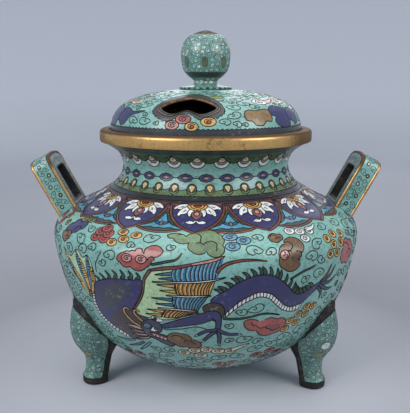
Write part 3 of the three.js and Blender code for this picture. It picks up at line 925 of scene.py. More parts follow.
class Tone:
    """A value that changes over a surface, so that sums on it are written as Python."""

    def __init__(self, tree, socket=None):
        self.tree = tree
        self.socket = socket

    def fill(self, made, sockets):
        plugs = {plug.identifier: plug for plug in made.inputs}
        for name, value in sockets.items():
            if isinstance(value, Tone):
                self.tree.links.new(value.socket, plugs[name])
            else:
                plugs[name].default_value = value

    def node(self, kind, settings, sockets, give):
        """Adds a node: its settings first, then the values or links of its sockets."""
        made = self.tree.nodes.new("ShaderNode" + kind)
        for name, value in settings.items():
            setattr(made, name, value)
        self.fill(made, sockets)
        return Tone(self.tree, next(plug for plug in made.outputs if plug.identifier == give))

    def sum(self, operation, first, second):
        return self.node("Math", {"operation": operation}, {"Value": first, "Value_001": second}, "Value")

    def __add__(self, other):
        return self.sum("ADD", self, other)

    def __sub__(self, other):
        return self.sum("SUBTRACT", self, other)

    def __rsub__(self, other):
        return self.sum("SUBTRACT", other, self)

    def __mul__(self, other):
        return self.sum("MULTIPLY", self, other)

    __radd__ = __add__
    __rmul__ = __mul__

    def place(self):
        return self.node("TexCoord", {}, {}, "Object")

    def height(self):
        """Height above the ground, in metres."""
        return self.node("SeparateXYZ", {}, {"Vector": self.place()}, "Z")

    def clouding(self, size, detail=3.0, wander=0.0):
        """Soft random patches of about a size in mm."""
        return self.node("TexNoise", {}, {"Vector": self.place(), "Scale": 1000 / size, "Detail": detail,
                                          "Distortion": wander}, "Fac")

    def spots(self, pitch):
        """Distance to the nearest of many scattered spots, some mm apart."""
        return self.node("TexVoronoi", {}, {"Vector": self.place(), "Scale": 1000 / pitch}, "Distance")

    def rise(self, low, high):
        """Climbs smoothly from 0 to 1 as the value goes from low to high."""
        return self.node("MapRange", {"interpolation_type": "SMOOTHSTEP"},
                         {"Value": self, "From Min": low, "From Max": high}, "Result")

    def blend(self, first, second):
        """Goes from one colour to another as this value goes from 0 to 1."""
        return self.node("Mix", {"data_type": "RGBA"},
                         {"Factor_Float": self, "A_Color": first, "B_Color": second},
                         "Result_Color")

    def scaled(self, amount):
        """A colour made darker or lighter."""
        return self.node("VectorMath", {"operation": "SCALE"}, {"Vector": self, "Scale": amount}, "Vector")

    def bump(self, depth, strength=1.0):
        """Turns a height into relief of some mm."""
        return self.node("Bump", {}, {"Height": self, "Distance": depth * MM, "Strength": strength},
                         "Normal")


def finish(name, sockets_of):
    """A new material whose shader sockets are worked out on its own node tree."""
    made = bpy.data.materials.new(name)
    made.use_nodes = True
    tone = Tone(made.node_tree)
    tone.fill(made.node_tree.nodes["Principled BSDF"], sockets_of(tone))
    return made


def enamel(name, grime=0.5, soot=(0.020, 0.022, 0.020, 1)):
    """Fired enamel: cloudy in its colour, dusty and worn dull in patches, with pits and a soft gloss."""
    def sockets(tone):
        glaze_colour = tone.node("Attribute", {"attribute_name": "glaze"}, {}, "Color")
        cloud = tone.clouding(26, 4, 0.6)
        fleck = tone.clouding(3.4, 5)
        grain = tone.clouding(0.9, 2)
        pits = 1 - tone.spots(4.2).rise(0.03, 0.10)
        colour = glaze_colour.scaled(0.42 + 0.5 * cloud + 0.52 * fleck)
        dust = fleck.rise(0.55, 0.80) * cloud.rise(0.35, 0.7) * 0.45
        colour = dust.blend(colour, (0.40, 0.42, 0.40, 1))
        dirt = (1 - grain.rise(0.30, 0.52)) * (grime * 0.8) + (1 - fleck.rise(0.30, 0.44)) * (grime * 0.7)
        colour = dirt.blend(colour, soot)
        colour = pits.blend(colour, (0.012, 0.010, 0.008, 1))
        relief = fleck * 0.5 + grain * 0.22 - pits * 0.8
        return {"Base Color": colour, "Roughness": 0.26 + 0.30 * fleck, "Coat Weight": 0.55,
                "Coat Roughness": 0.17, "Specular IOR Level": 0.45, "Normal": relief.bump(0.16, 0.8)}
    return finish(name, sockets)


def metal(name, dark, light, shine, low=0.42, high=0.66, metallic=0.85, patch=14.0):
    """Old metal: its colour shows through tarnish in patches, with fine pitting."""
    def sockets(tone):
        patches = tone.clouding(patch, 5, 0.8)
        fleck = tone.clouding(2.2, 4)
        bare = (patches * 0.7 + fleck * 0.3).rise(low, high)
        colour = bare.blend((*dark, 1), (*light, 1)).scaled(0.7 + 0.6 * fleck)
        relief = fleck + tone.clouding(0.7, 2) * 0.4
        roughness = shine + 0.22 * (1 - bare) + 0.12 * fleck
        return {"Base Color": colour, "Metallic": metallic, "Roughness": roughness,
                "Normal": relief.bump(0.12, 0.7)}
    return finish(name, sockets)


def piece(name, mesh, finishes, node=None):
    """Sets a finished mesh in the scene, on the vessel's one body."""
    for material in finishes:
        mesh.materials.append(material)
    made = bpy.data.objects.new(name, mesh)
    bpy.context.collection.objects.link(made)
    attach(made, "root")
    if node:
        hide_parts(node)
    return made


base_disc = 14
bowl_border = ring_border(bowl, bowl.marks[0] + base_disc, bowl.marks[-1], 4.0, 4.5)
picture_end = len(field.wires)
scatter(field, ring_border(bowl, -150, 29.5, 4, 4.5), ((13.6, 8.4), (11.6, 7.6), (9.6, 6.4), (7.6, 5.4)), 7,
        14000, 0.9, 24)
sheet = enamel_sheet("bowl_body", field, bowl_border, turquoise)
shape = laid_open(sheet)
open_edges = [edge for edge in shape.edges if edge.is_boundary]
half_height = 0.1
lip = [edge for edge in open_edges if edge.verts[0].co.z > half_height]
bmesh.ops.contextual_create(shape, geom=[edge for edge in open_edges if edge.verts[0].co.z < half_height])
wall = 2.6
inner = [(radius - wall, height) for radius, height in bowl_outline[:12:-1]]
inner += [(bowl.radius(0) - wall, 132), (131, 96), (102.5, 44), (73, 25), (40, 13.6), (12, 12)]
for radius, height in inner:
    grown = bmesh.ops.extrude_edge_only(shape, edges=lip)["geom"]
    lip = [part for part in grown if isinstance(part, bmesh.types.BMEdge)]
    ring = {v for edge in lip for v in edge.verts}
    for v in ring:
        flat = Vector((v.co.x, v.co.y)).normalized() * radius * MM
        v.co = (flat.x, flat.y, height * MM)
    for face in {face for v in ring for face in v.link_faces}:
        face.material_index = 1
for face in bmesh.ops.contextual_create(shape, geom=lip)["faces"]:
    face.material_index = 1
bmesh.ops.recalc_face_normals(shape, faces=shape.faces)
true_shading(settled(shape, sheet), bowl)
sooty_copper = metal("sooty_copper", (0.016, 0.012, 0.010), (0.10, 0.045, 0.022), 0.42, 0.5, 0.75, 0.7, 30)
piece("bowl_body", sheet, [enamel("bowl_enamel"), sooty_copper], "bowl")
wire_metal = metal("wire_metal", (0.020, 0.019, 0.014), (0.15, 0.09, 0.042), 0.38, 0.50, 0.75, 0.8, 22)
for name, start, stop in (("bowl_wires_neck", 0, neck_end), ("bowl_wires_picture", neck_end, picture_end),
                          ("bowl_wires_clouds", picture_end, None)):
    piece(name, ribbons(name, bowl, field.runs(start, stop)), [wire_metal])


# The mouth rim is a cast ring of gilt brass, soldered on the lip. Its gilding is bright in front and painted
# dark brown towards the left and right sides as painted shade, and the lid rests on its inner ledge.
rim_section = [(84.2, 214.5), (95.2, 214.5), (96.5, 214.8), (97, 215.8), (97, 222.0), (96.8, 223.4),
               (96.1, 224.6), (95.0, 225.2), (93.6, 225.4), (88.9, 225.4), (88.3, 225.1), (88.2, 224.05),
               (84.2, 224.0)]
ring_shape = bmesh.new()
section = [ring_shape.verts.new((radius * MM, 0, height * MM)) for radius, height in rim_section]
section_edges = [ring_shape.edges.new((a, b)) for a, b in zip(section, section[1:] + section[:1])]
bmesh.ops.spin(ring_shape, geom=section + section_edges, cent=(0, 0, 0), axis=(0, 0, 1), angle=math.tau,
               steps=160, use_merge=True)
bmesh.ops.remove_doubles(ring_shape, verts=ring_shape.verts, dist=1e-6)
bmesh.ops.recalc_face_normals(ring_shape, faces=ring_shape.faces)
rim_mesh = settled(ring_shape, bpy.data.meshes.new("mouth_rim_gilt"), 40)


def worn_gilding(name, bare, gold, worn_above=None, shaded_sides=False):
    """Gilding that is rubbed through to brown metal in patches, and more so at the top; it may also be
    darkened towards the left and right sides as painted shade.
    """
    def sockets(tone):
        patches = tone.clouding(24, 5, 1.0)
        fleck = tone.clouding(1.8, 4)
        scratches = tone.clouding(0.5, 2)
        kept = (patches * 0.62 + fleck * 0.38).rise(0.26, 0.50)
        if worn_above:
            kept = kept * (1 - tone.height().rise(*worn_above))
        if shaded_sides:
            # Painted shade: the gilding turns to brown towards the left and right ends of the ring.
            across = tone.node("SeparateXYZ", {}, {"Vector": tone.place()}, "X")
            kept = kept * (1 - 0.85 * across.rise(0.060, 0.082))
            kept = kept * (1 - 0.7 * (0 - across).rise(0.080, 0.094))
        colour = kept.blend((*bare, 1), (*gold, 1)).scaled(0.72 + 0.5 * fleck)
        relief = fleck * 0.6 + scratches * 0.5
        return {"Base Color": colour, "Metallic": 0.92, "Roughness": 0.24 + 0.30 * (1 - kept) + 0.16 * fleck,
                "Normal": relief.bump(0.10, 0.6)}
    return finish(name, sockets)


piece("mouth_rim_gilt", rim_mesh,
      [worn_gilding("rim_gilding", (0.13, 0.075, 0.036), (0.74, 0.46, 0.17), (0.2226, 0.2246), True)],
      "mouth_rim")


# The lid is a raised copper dome, enamelled outside and bare inside, with three heart-shaped smoke
# holes sawn through it. A soldered ring under its edge drops inside the mouth.
lid_outline = [(87, 224.3), (86.8, 230.3), (84.4, 236.8), (80, 243.3), (73, 248.9), (62, 253.5),
               (51, 256.5), (37, 259), (26, 260), (14, 260.1), (6, 260.2)]
dome = Turned(lid_outline, 224.3)
cover = Picture(dome, 0.78)
heart = spline([(0, 59.2), (6, 60.8), (14, 64.8), (20.6, 69.2), (23.2, 72.4), (21.2, 75.6), (15.6, 79.2),
                (10, 80.4), (4.6, 79.4), (0, 78.2), (-4.6, 79.4), (-10, 80.4), (-15.6, 79.2), (-21.2, 75.6),
                (-23.2, 72.4), (-20.6, 69.2), (-14, 64.8), (-6, 60.8)], 2, closed=True)


def sawn(turn, wide=1.0, inward=1.0, outward=1.0, fringe=0.0):
    """A smoke hole's outline on the lid's map, or a wider one around it."""
    x, y = heart[:, 0] * wide, heart[:, 1] - 70
    y = 70 + y * np.where(y < 0, inward, outward)
    if fringe:
        x, y = (np.repeat(part, 2) for part in (x, y))
        x[::2] += fringe * np.sign(x[::2])
        y[::2] += fringe * np.sign(y[::2] - 70)
    along = np.interp(-np.hypot(x, y), -dome.radii, dome.marks)
    return np.stack([np.degrees(np.arctan2(x, y)) + turn, along], 1)


fringed = [(-180 + 1.25 * k, 5.4 + 1.0 * (k % 2)) for k in range(289)]
cover.cell(np.array([*fringed, *[(angle, -0.5) for angle in np.linspace(180, -180, 97)]]),
           glaze(50, 55, 64), wire=False)
cover.line(np.array(fringed))
for turn in (0, 120, -120):
    cover.cell(sawn(turn - 11, 1.28, 1.95, 1.26, 0.55), glaze(50, 46, 50))
    cover.cell(sawn(turn - 11, 1.14, 1.30, 1.12), glaze(86, 76, 72))
    cover.cell(sawn(turn - 11, 1.06, 1.10, 1.05), glaze(58, 50, 46))

    def head(angle, along, width, height, colour, core=None, lean=0.0):
        cover.cell(cover.place(oval(width, height, 16), (angle + turn, along), lean), colour)
        if core:
            cover.cell(cover.place(oval(width * 0.36, height * 0.4, 10), (angle + turn, along), lean), core,
                       wire=False)
        cover.line(cover.place(spiral(width * 0.68, height * 0.68, 1.6, 18, 0.6), (angle + turn, along),
                               lean))

    for points, colour in (
            ([(-64, 17), (-61.5, 22.5), (-57, 24), (-52.5, 22.4), (-49, 20.4), (-44, 21.4), (-38.4, 21.4),
              (-43.6, 19), (-48.6, 16.6), (-50.6, 13), (-53, 8.6), (-57, 7.4), (-60, 10.6), (-62.6, 12)],
              navy),
            ([(22.4, 19.4), (25.6, 23.0), (31, 22.0), (35.4, 23.4), (40.4, 22.6), (41, 16.4), (39.4, 11.4),
              (35.6, 12.0), (33.4, 8.8), (28.6, 8.6), (26.4, 12.2), (22.8, 13.4)], glaze(132, 104, 62)),
            ([(41, 22.8), (45.6, 27.2), (51, 26.6), (55.6, 23.4), (60.4, 21.6), (58.6, 17.4), (57.6, 12.4),
              (56, 7.4), (51, 5.6), (45.6, 7.0), (42.6, 11.2), (44.0, 15.4), (41, 17.6)], navy),
            ([(2.4, 44.0), (6.6, 49), (12.4, 48.4), (14.2, 44.2), (9.4, 41.6)], olive)):
        cover.cell(spline([(angle + turn, along) for angle, along in points], 4, closed=True), colour)
    head(-12.5, 14.7, 13.0, 8.2, red)
    head(-18.4, 9.4, 12.0, 7.6, red)
    head(-7.6, 8.4, 11.0, 7.4, ochre, red)
    head(1.4, 12.4, 12.6, 7.8, ochre, red)
    head(-57.6, 34.4, 15.5, 9.6, cream, pink, 10)
    cover.cell(cover.limb([(-52 + turn, 36), (-47 + turn, 39.6), (-41.4 + turn, 40.4)], [4.6, 2.6, 0.5]),
               cream)
    head(40.6, 34.4, 16.5, 10.4, white, None, 4)
    cover.cell(cover.limb([(45.6 + turn, 33.4), (52 + turn, 35.4), (59.6 + turn, 39.8)], [6.0, 4.4, 0.6]),
               pink)
for turn in (0, 120, -120):
    cover.cell(sawn(turn - 11), None, wire=False)
scatter(cover, ring_border(dome, 7.4, 68, 4, 4), ((12.5, 6.6), (10.0, 5.6), (7.6, 4.8), (5.4, 3.6)), 3, 5000)
lid_border = ring_border(dome, 0, dome.marks[-1], 4.0, 3.6)
lid_sheet = enamel_sheet("lid_dome", cover, lid_border, turquoise, 4.0, 3.6)
shape = laid_open(lid_sheet)
top_hole_reach = 0.008
top_hole = [edge for edge in shape.edges
            if edge.is_boundary and sum(v.co.xy.length for v in edge.verts) < 2 * top_hole_reach]
bmesh.ops.contextual_create(shape, geom=top_hole)
bmesh.ops.recalc_face_normals(shape, faces=shape.faces)
outside_count = len(shape.faces)
bmesh.ops.solidify(shape, geom=shape.faces[:], thickness=wall * MM)
shape.faces.ensure_lookup_table()
edge_reach = 0.0835
for face in shape.faces[outside_count:]:
    sawn_face = abs(face.normal.z) < 0.6 and face.calc_center_median().xy.length < edge_reach
    face.material_index = 2 if sawn_face else 1
spigot = [(80.8, 217), (82.8, 217), (82.8, 224.6), (84.6, 225.2), (84.6, 227.5), (80.8, 227.5)]
corners = [shape.verts.new((radius * MM, 0, height * MM)) for radius, height in spigot]
loop = [shape.edges.new((a, b)) for a, b in zip(corners, corners[1:] + corners[:1])]
spigot_start = len(shape.faces)
bmesh.ops.spin(shape, geom=corners + loop, cent=(0, 0, 0), axis=(0, 0, 1), angle=math.tau, steps=128,
               use_merge=True)
shape.faces.ensure_lookup_table()
spigot_faces = shape.faces[spigot_start:]
bmesh.ops.recalc_face_normals(shape, faces=spigot_faces)
for face in spigot_faces:
    face.material_index = 1
true_shading(settled(shape, lid_sheet), dome)
sawn_edge = metal("sawn_copper", (0.10, 0.055, 0.03), (0.34, 0.18, 0.09), 0.36, 0.4, 0.6)
piece("lid_dome", lid_sheet, [enamel("lid_enamel", 0.55), sooty_copper, sawn_edge], "lid")
piece("lid_wires", ribbons("lid_wires", dome, cover.runs()), [wire_metal])


# The knob is a lotus bud on a short stem with a round collar, enamelled all over in close scrolls.
knob_outline = [(23.4, 260.32), (24.2, 261.0), (24.2, 261.6), (23.2, 262.3), (18.5, 263.0), (14, 263.7),
                (11.4, 264.9), (10.5, 267.0), (11.3, 268.6), (13.7, 270.4), (17.3, 273.4), (20.4, 278),
                (21.9, 284.5), (22.3, 292.6), (20.9, 298.4), (19, 302.8), (16.1, 306.2), (10.8, 309.3),
                (4, 311.5), (0.0, 312.2)]
bud = Turned(knob_outline, 270.4)
blossom = Picture(bud, 0.36)
bud_heights = (261.3, 264.9, 271.0, 275.2, 286, 308.0, 312.2)
bud_mark = {height: float(np.interp(height, bud.heights, bud.marks)) for height in bud_heights}
band(blossom, bud_mark[271.0], bud_mark[275.2], glaze(34, 42, 36))
for angle in around(26, 4):
    blossom.cell(blossom.place(oval(3.2, 1.9, 10), (angle, bud_mark[261.3] + 0.4)), glaze(40, 52, 46))
for angle, width, height, colour in ((-2, 5.4, 9.0, glaze(84, 100, 70)), (-50, 5.0, 10, glaze(74, 104, 84)),
        (47, 5.2, 10, glaze(90, 104, 70)), (98, 6.4, 12, leaf), (145, 6.4, 12, olive),
        (-98, 6.2, 12, olive), (-146, 6.4, 12, leaf)):
    blossom.cell(blossom.place(oval(width, height, 16), (angle, bud_mark[286] - 2)), colour)
band(blossom, bud_mark[308.0], bud_mark[312.2] + 1, glaze(46, 34, 27), edges=False)
pale_fills = [glaze(152, 200, 192), glaze(182, 214, 204), glaze(130, 184, 176), glaze(206, 222, 210)]
knob_border = ring_border(bud, bud.marks[0], bud.marks[-1], 9.0, 1.5)
scatter(blossom, ring_border(bud, bud_mark[264.9], bud_mark[308.0] + 2, 9, 1.5),
        ((4.2, 3.2), (3.4, 2.6), (2.6, 2.1)), 11, 9000, 0.3, 80, pale_fills)
knob_sheet = enamel_sheet("knob_bud", blossom, knob_border, glaze(104, 146, 136), 9.0, 1.5)
shape = laid_open(knob_sheet)
bmesh.ops.contextual_create(shape, geom=[edge for edge in shape.edges if edge.is_boundary])
bmesh.ops.recalc_face_normals(shape, faces=shape.faces)
collar_underside = 0.26033
tip_start = 0.3084
for face in shape.faces:
    middle_height = face.calc_center_median().z
    if middle_height < collar_underside:
        face.material_index = 1
    elif middle_height > tip_start:
        face.material_index = 2
true_shading(settled(shape, knob_sheet), bud)
tip_bronze = metal("tip_bronze", (0.045, 0.026, 0.016), (0.15, 0.085, 0.048), 0.62, 0.42, 0.6, 0.3, 3)
piece("knob_bud", knob_sheet, [enamel("knob_enamel", 0.6), sooty_copper, tip_bronze], "lid_knob")
piece("knob_wires", ribbons("knob_wires", bud, blossom.runs(), 0.05, 0.25), [wire_metal])


# The handles are upright loops of cast bronze that lean out from the shoulder. Their narrow sides
# are inlaid with turquoise enamel between two gilt edge beads, and their flat faces with a darker one.
class Formed:
    """A surface given by the point (mm) that each place of its map lies at."""

    def __init__(self, point):
        self.point = point

    def slopes(self, places):
        step = 0.05
        return [(self.point(places + move) - self.point(places - move)) / (2 * step)
                for move in (np.array([step, 0]), np.array([0, step]))]

    def at(self, places, lift=0.0):
        east, north = self.slopes(places)
        normal = np.cross(east, north)
        normal /= np.linalg.norm(normal, axis=1)[:, None] + 1e-9
        return (self.point(places) + normal * lift) * MM

    def scale(self, places):
        slopes = self.slopes(places)
        return np.stack([np.maximum(np.linalg.norm(slope, axis=1), 0.02) for slope in slopes], 1)


handle_lean = math.radians(28.3)
handle_up = np.array([math.sin(handle_lean), 0, math.cos(handle_lean)])
handle_out = np.array([math.cos(handle_lean), 0, -math.sin(handle_lean)])
inner_face, outer_face = 30.0, 48.6
handle_top, slot_floor, root = 247.0, 199.0, 176.0


def on_handle(side, across, up, out):
    """A point of a handle from its own three directions. The left one is the right one turned half round."""
    spot = np.outer(across, (0, 1, 0)) + np.outer(up, handle_up) + np.outer(out, handle_out)
    return spot * [side, side, 1]


belt = int(np.argmax(bowl.radii))
waist = belt + int(np.argmin(bowl.radii[belt:]))
hill = bowl.radii[belt:waist][::-1], bowl.heights[belt:waist][::-1]


def shoulder_mark(across, out, sink=0.4):
    """How far up a handle its foot meets the shoulder."""
    low, high = np.full(len(across), 150.0), np.full(len(across), 240.0)
    for _ in range(24):
        middle = (low + high) / 2
        x, y, z = on_handle(1, across, middle, out).T
        over = z > np.interp(np.hypot(x, y), *hill) - sink
        low, high = np.where(over, low, middle), np.where(over, middle, high)
    return high


def bend(a, b, c, steps=7):
    """A curve from a to c drawn towards b."""
    t = np.linspace(0, 1, steps, endpoint=False)[:, None]
    a, b, c = (np.array(point, float) for point in (a, b, c))
    return a * (1 - t) ** 2 + 2 * b * t * (1 - t) + c * t ** 2


def arch(half, top, corner, crown, floor, steps=7):
    """The outline of a handle or of its slot, from the left foot over the top to the right one."""
    side_end, flat_end = top - corner - crown, top - crown / 2
    left = bend((-half, side_end), (-half, flat_end), (-half + corner, flat_end), steps)
    crest = bend((-half + corner, flat_end), (0, top + crown / 2), (half - corner, flat_end), steps)
    right = bend((half - corner, flat_end), (half, flat_end), (half, side_end), steps)
    return np.vstack([[(-half, floor)], left, crest, right, [(half, side_end), (half, floor)]])


outer_arch = arch(24, handle_top, 11, 2, root)
slot_arch = arch(12, 232, 5, 0, slot_floor, 5)
bronze = metal("dark_bronze_metal", (0.034, 0.032, 0.031), (0.105, 0.088, 0.072), 0.34, 0.45, 0.7, 0.7, 12)
handle_gilding = worn_gilding("handle_gilding", (0.13, 0.07, 0.035), (0.66, 0.40, 0.17), (0.187, 0.196))
strip_enamel = enamel("handle_enamel", 0.5)


def slab(mesh, depth):
    """Gives a sheet of enamel its thickness, inwards."""
    thick = laid_open(mesh)
    bmesh.ops.solidify(thick, geom=thick.faces[:], thickness=depth * MM)
    return settled(thick, mesh, 40)


def handle(name, side):
    form = bmesh.new()
    for outline in (outer_arch, slot_arch):
        ring = [form.verts.new((0.0, across, up)) for across, up in outline]
        for a, b in zip(ring, ring[1:] + ring[:1]):
            form.edges.new((a, b))
    bmesh.ops.triangle_fill(form, use_beauty=True, edges=form.edges[:])
    grown = bmesh.ops.extrude_face_region(form, geom=form.faces[:], use_keep_orig=True)["geom"]
    bmesh.ops.translate(form, vec=(1, 0, 0),
                        verts=[part for part in grown if isinstance(part, bmesh.types.BMVert)])
    for v in form.verts:
        v.co.x = outer_face if v.co.x > 0.5 else inner_face
    bmesh.ops.recalc_face_normals(form, faces=form.faces)
    sharp = [edge for edge in form.edges
             if edge.calc_face_angle(0) > math.radians(50) and max(v.co.z for v in edge.verts) > root + 1]
    bmesh.ops.bevel(form, geom=sharp, offset=1.6, offset_type="OFFSET", affect="EDGES", segments=3,
                    profile=0.5, material=-1)
    spots = np.array([tuple(v.co) for v in form.verts])
    low = spots[:, 2] < root + 4
    spots[low, 2] = shoulder_mark(spots[low, 1], spots[low, 0], 0.8)
    placed = on_handle(side, spots[:, 1], spots[:, 2], spots[:, 0]) * MM
    for v, place in zip(form.verts, placed):
        v.co = place
    bmesh.ops.recalc_face_normals(form, faces=form.faces)
    body = settled(form, bpy.data.meshes.new(name + "_bronze"), 35)
    piece(name + "_bronze", body, [bronze], name)

    # gilt beads along both edges of the narrow side
    path = spline(outer_arch[1:-1], 3)
    run = np.gradient(path, axis=0)
    run /= np.linalg.norm(run, axis=1)[:, None]
    outward = np.stack([-run[:, 1], run[:, 0]], 1)
    bead = bpy.data.curves.new(name + "_gilding", "CURVE")
    bead.dimensions = "3D"
    bead.bevel_depth = 1.45 * MM
    bead.bevel_resolution = 3
    bead.use_fill_caps = True
    for out in (inner_face + 1.2, outer_face - 1.2):
        track = path - outward * 0.75
        ends = shoulder_mark(track[[0, -1], 0], np.array([out, out]), 0.6)
        track = np.vstack([[track[0, 0], ends[0]], track, [track[-1, 0], ends[1]]])
        line = bead.splines.new("POLY")
        line.points.add(len(track) - 1)
        spots = on_handle(side, track[:, 0], track[:, 1], np.full(len(track), out)) * MM
        line.points.foreach_set("co", np.hstack([spots, np.ones((len(spots), 1))]).ravel())
    former = bpy.data.objects.new(name + "_former", bead)
    gilding = bpy.data.meshes.new_from_object(former)
    bpy.data.objects.remove(former)
    piece(name + "_gilding", gilding, [handle_gilding])

    # enamel on the narrow side
    track = np.vstack([spline(outer_arch[:2], 6), spline(outer_arch[1:-1], 3)[1:-1],
                       spline(outer_arch[-2:], 6)])
    steps = np.linalg.norm(np.diff(track, axis=0), axis=1)
    marks = np.concatenate([[0], np.cumsum(steps)])
    middle = (inner_face + outer_face) / 2

    def side_point(places):
        here = np.stack([np.interp(places[:, 0], marks, track[:, k]) for k in (0, 1)], 1)
        ahead = np.stack([np.interp(places[:, 0] + 0.6, marks, track[:, k]) for k in (0, 1)], 1)
        behind = np.stack([np.interp(places[:, 0] - 0.6, marks, track[:, k]) for k in (0, 1)], 1)
        way = ahead - behind
        way /= np.linalg.norm(way, axis=1)[:, None] + 1e-9
        here = here + np.stack([-way[:, 1], way[:, 0]], 1) * 0.25
        return on_handle(side, here[:, 0], here[:, 1], middle - places[:, 1])

    narrow = Picture(Formed(side_point), 0.5)
    half_strip = 6.6
    breadth = np.linspace(-half_strip, half_strip, 7)
    foot_marks = shoulder_mark(np.full(7, -24.0), middle - breadth, -0.4) - root
    edge_run = np.linspace(foot_marks.max() + 2, marks[-1] - foot_marks.max() - 2, 60)
    border = np.vstack([np.stack([edge_run, 0 * edge_run - half_strip], 1),
                        np.stack([marks[-1] - foot_marks, breadth], 1),
                        np.stack([edge_run[::-1], 0 * edge_run + half_strip], 1),
                        np.stack([foot_marks, breadth], 1)[::-1]])
    for k, place in enumerate(np.arange(foot_marks.max() + 6, marks[-1] - foot_marks.max() - 4, 10.2)):
        drift = 2.2 * (-1) ** k
        narrow.cell(narrow.place(oval(4.0, 3.6, 12), (place, drift)),
                    (iron, glaze(84, 74, 60), mauve)[k % 3])
        narrow.cell(narrow.place(oval(1.6, 1.4, 8), (place, drift)), (ochre, cream, white)[k % 3],
                    wire=False)
    scatter(narrow, border, ((7.0, 4.8), (5.2, 3.8), (4.0, 3.0)), 5, 2500, 0.4, 60)
    narrow_sheet = slab(enamel_sheet(name + "_side_enamel", narrow, border, turquoise, 3.0, 3.3), 0.5)
    piece(name + "_side_enamel", narrow_sheet, [strip_enamel])

    # enamel on the two flat faces, around the slot
    strips = [ribbons("strip", narrow.surface, narrow.runs(), 0.05, 0.3)]
    for word, out, flip in (("inner", inner_face, -1), ("outer", outer_face, 1)):
        def flat_point(places, out=out, flip=flip):
            return on_handle(side, places[:, 0] * flip, places[:, 1], np.full(len(places), out + 0.2 * flip))

        panel_picture = Picture(Formed(flat_point), 0.45)
        half_face = 21.4
        rows = np.linspace(-half_face, half_face, 9)
        base = shoulder_mark(rows * flip, np.full(9, out), -0.6)
        border = np.vstack([np.stack([rows, base], 1),
                            arch(half_face, handle_top - 2.6, 9.6, 2, root)[1:-1][::-1]])
        panel_picture.cell(arch(13.8, 233.6, 5, 0, 197.4, 5), None)
        scatter(panel_picture, border, ((6.4, 4.6), (4.8, 3.6)), 9, 1500, 0.5, 60)
        face_name = f"{name}_{word}_enamel"
        face_sheet = enamel_sheet(face_name, panel_picture, border, glaze(78, 112, 106), 4.0, 4.0)
        piece(face_name, slab(face_sheet, 0.5), [strip_enamel])
        strips.append(ribbons("strip", panel_picture.surface, panel_picture.runs(), 0.05, 0.3))
    joined = bmesh.new()
    for strip in strips:
        joined.from_mesh(strip)
        bpy.data.meshes.remove(strip)
    wire_mesh = bpy.data.meshes.new(name + "_wires")
    joined.to_mesh(wire_mesh)
    joined.free()
    piece(name + "_wires", wire_mesh, [wire_metal])


handle("handle_right", 1)
handle("handle_left", -1)


# The feet are hollow castings of dark bronze with a bulging knee, riveted under the bowl. Their outer
# side is enamelled in close scrolls, from under a plain collar down to a plain base band.
foot_sections = spline([
    (0, 10.4, -10.2, 10), (1.5, 11, -10.8, 10.8), (6.5, 10.8, -11, 10.4), (9.5, 9.8, -12, 8.4),
    (17, 9.8, -13.6, 7.4), (25, 10.8, -15.4, 8), (32, 13.2, -19, 12.2), (39, 16.4, -22, 16.8),
    (47, 18.8, -22, 19.3), (56, 19.8, -19, 19.9), (65, 18.6, -15, 18.6), (72, 16.6, -9, 17),
    (78, 13.6, -4, 17), (80, 11, 0, 16)], 5)
foot_ring = 114.0
base_band = 6.0
under_heights, under_radii = bowl.heights[:belt], bowl.radii[:belt]
leg_fills = [glaze(126, 172, 164), glaze(152, 190, 180), glaze(104, 152, 144)]


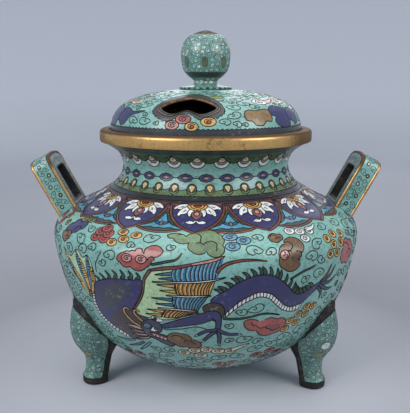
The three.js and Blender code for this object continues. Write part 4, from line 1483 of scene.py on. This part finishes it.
def foot(name, azimuth, spots_of_colour):
    out_way = np.array([math.sin(math.radians(azimuth)), -math.cos(math.radians(azimuth)), 0])
    side_way = np.array([math.cos(math.radians(azimuth)), math.sin(math.radians(azimuth)), 0])

    def skin(places, proud=0.0):
        turn = np.radians(places[:, 0])
        half, back, front = (np.interp(places[:, 1], foot_sections[:, 0], foot_sections[:, k]) + grow
                             for k, grow in ((1, proud), (2, -proud), (3, proud)))
        power = np.where(np.cos(turn) < 0, 0.6, 1.0)
        along = np.sign(np.cos(turn)) * abs(np.cos(turn)) ** power
        beside = np.sign(np.sin(turn)) * abs(np.sin(turn)) ** power
        reach = foot_ring + (back + front) / 2 + (front - back) / 2 * along
        spot = np.outer(reach, out_way) + np.outer(half * beside, side_way)
        spot[:, 2] = places[:, 1]
        radius = np.hypot(spot[:, 0], spot[:, 1])
        clear = np.maximum(radius, np.interp(spot[:, 2], under_heights, under_radii) + 0.35 + proud)
        spot[:, :2] *= (clear / radius)[:, None]
        return spot

    sides = 48
    turns = np.arange(sides) * 360 / sides
    cast = bmesh.new()
    station = cast.verts.layers.int.new("station")
    ring = [cast.verts.new(place) for place in skin(np.stack([turns, 0 * turns], 1)) * MM]
    for k, v in enumerate(ring):
        v[station] = k
    edges = [cast.edges.new((a, b)) for a, b in zip(ring, ring[1:] + ring[:1])]
    bmesh.ops.contextual_create(cast, geom=edges)
    for height in foot_sections[1:, 0]:
        grown = bmesh.ops.extrude_edge_only(cast, edges=edges)["geom"]
        edges = [part for part in grown if isinstance(part, bmesh.types.BMEdge)]
        level = skin(np.stack([turns, 0 * turns + height], 1)) * MM
        for v in {v for edge in edges for v in edge.verts}:
            v.co = level[v[station]]
    bmesh.ops.contextual_create(cast, geom=edges)
    bmesh.ops.recalc_face_normals(cast, faces=cast.faces)
    cast_mesh = settled(cast, bpy.data.meshes.new(name + "_casting"), 55)
    piece(name + "_casting", cast_mesh, [bronze], name)

    leg = Picture(Formed(lambda places: skin(places, 0.3)), 0.36)
    right = spline([(96, base_band), (97, 20), (98, 34), (95, 46), (84, 56), (62, 64), (36, 70), (0, 73)], 5)
    bottom = np.stack([np.linspace(-96, 96, 25), np.full(25, base_band)], 1)
    border = np.vstack([bottom[:-1], right, (right[-2:0:-1]) * [-1, 1]])
    leg.line(np.vstack([border, border[:1]]), 0.9)
    for angle, along, width, height, colour in spots_of_colour:
        leg.cell(leg.place(oval(width, height, 14), (angle, along)), colour)
    scatter(leg, border, ((4.6, 3.4), (3.6, 2.8), (2.8, 2.2)), 13, 7000, 0.3, 80, leg_fills)
    leg_sheet = slab(enamel_sheet(name + "_enamel", leg, border, glaze(96, 136, 126), 6.0, 2.4), 0.5)
    piece(name + "_enamel", leg_sheet, [enamel(name + "_enamel", 0.75)])
    piece(name + "_wires", ribbons(name + "_wires", leg.surface, leg.runs(), 0.05, 0.3), [wire_metal])


foot("foot_left", -62.4, [(-8, 44, 9, 12, navy), (40, 30, 7, 6, olive), (-60, 40, 9, 8, red)])
foot("foot_right", 57.6, [(-34, 44, 9, 8, white), (-40, 33, 8, 8, olive), (10, 47, 10, 11, navy)])
foot("foot_back", 177.6, [(0, 46, 10, 11, navy), (-40, 36, 8, 8, olive), (44, 40, 9, 8, red)])
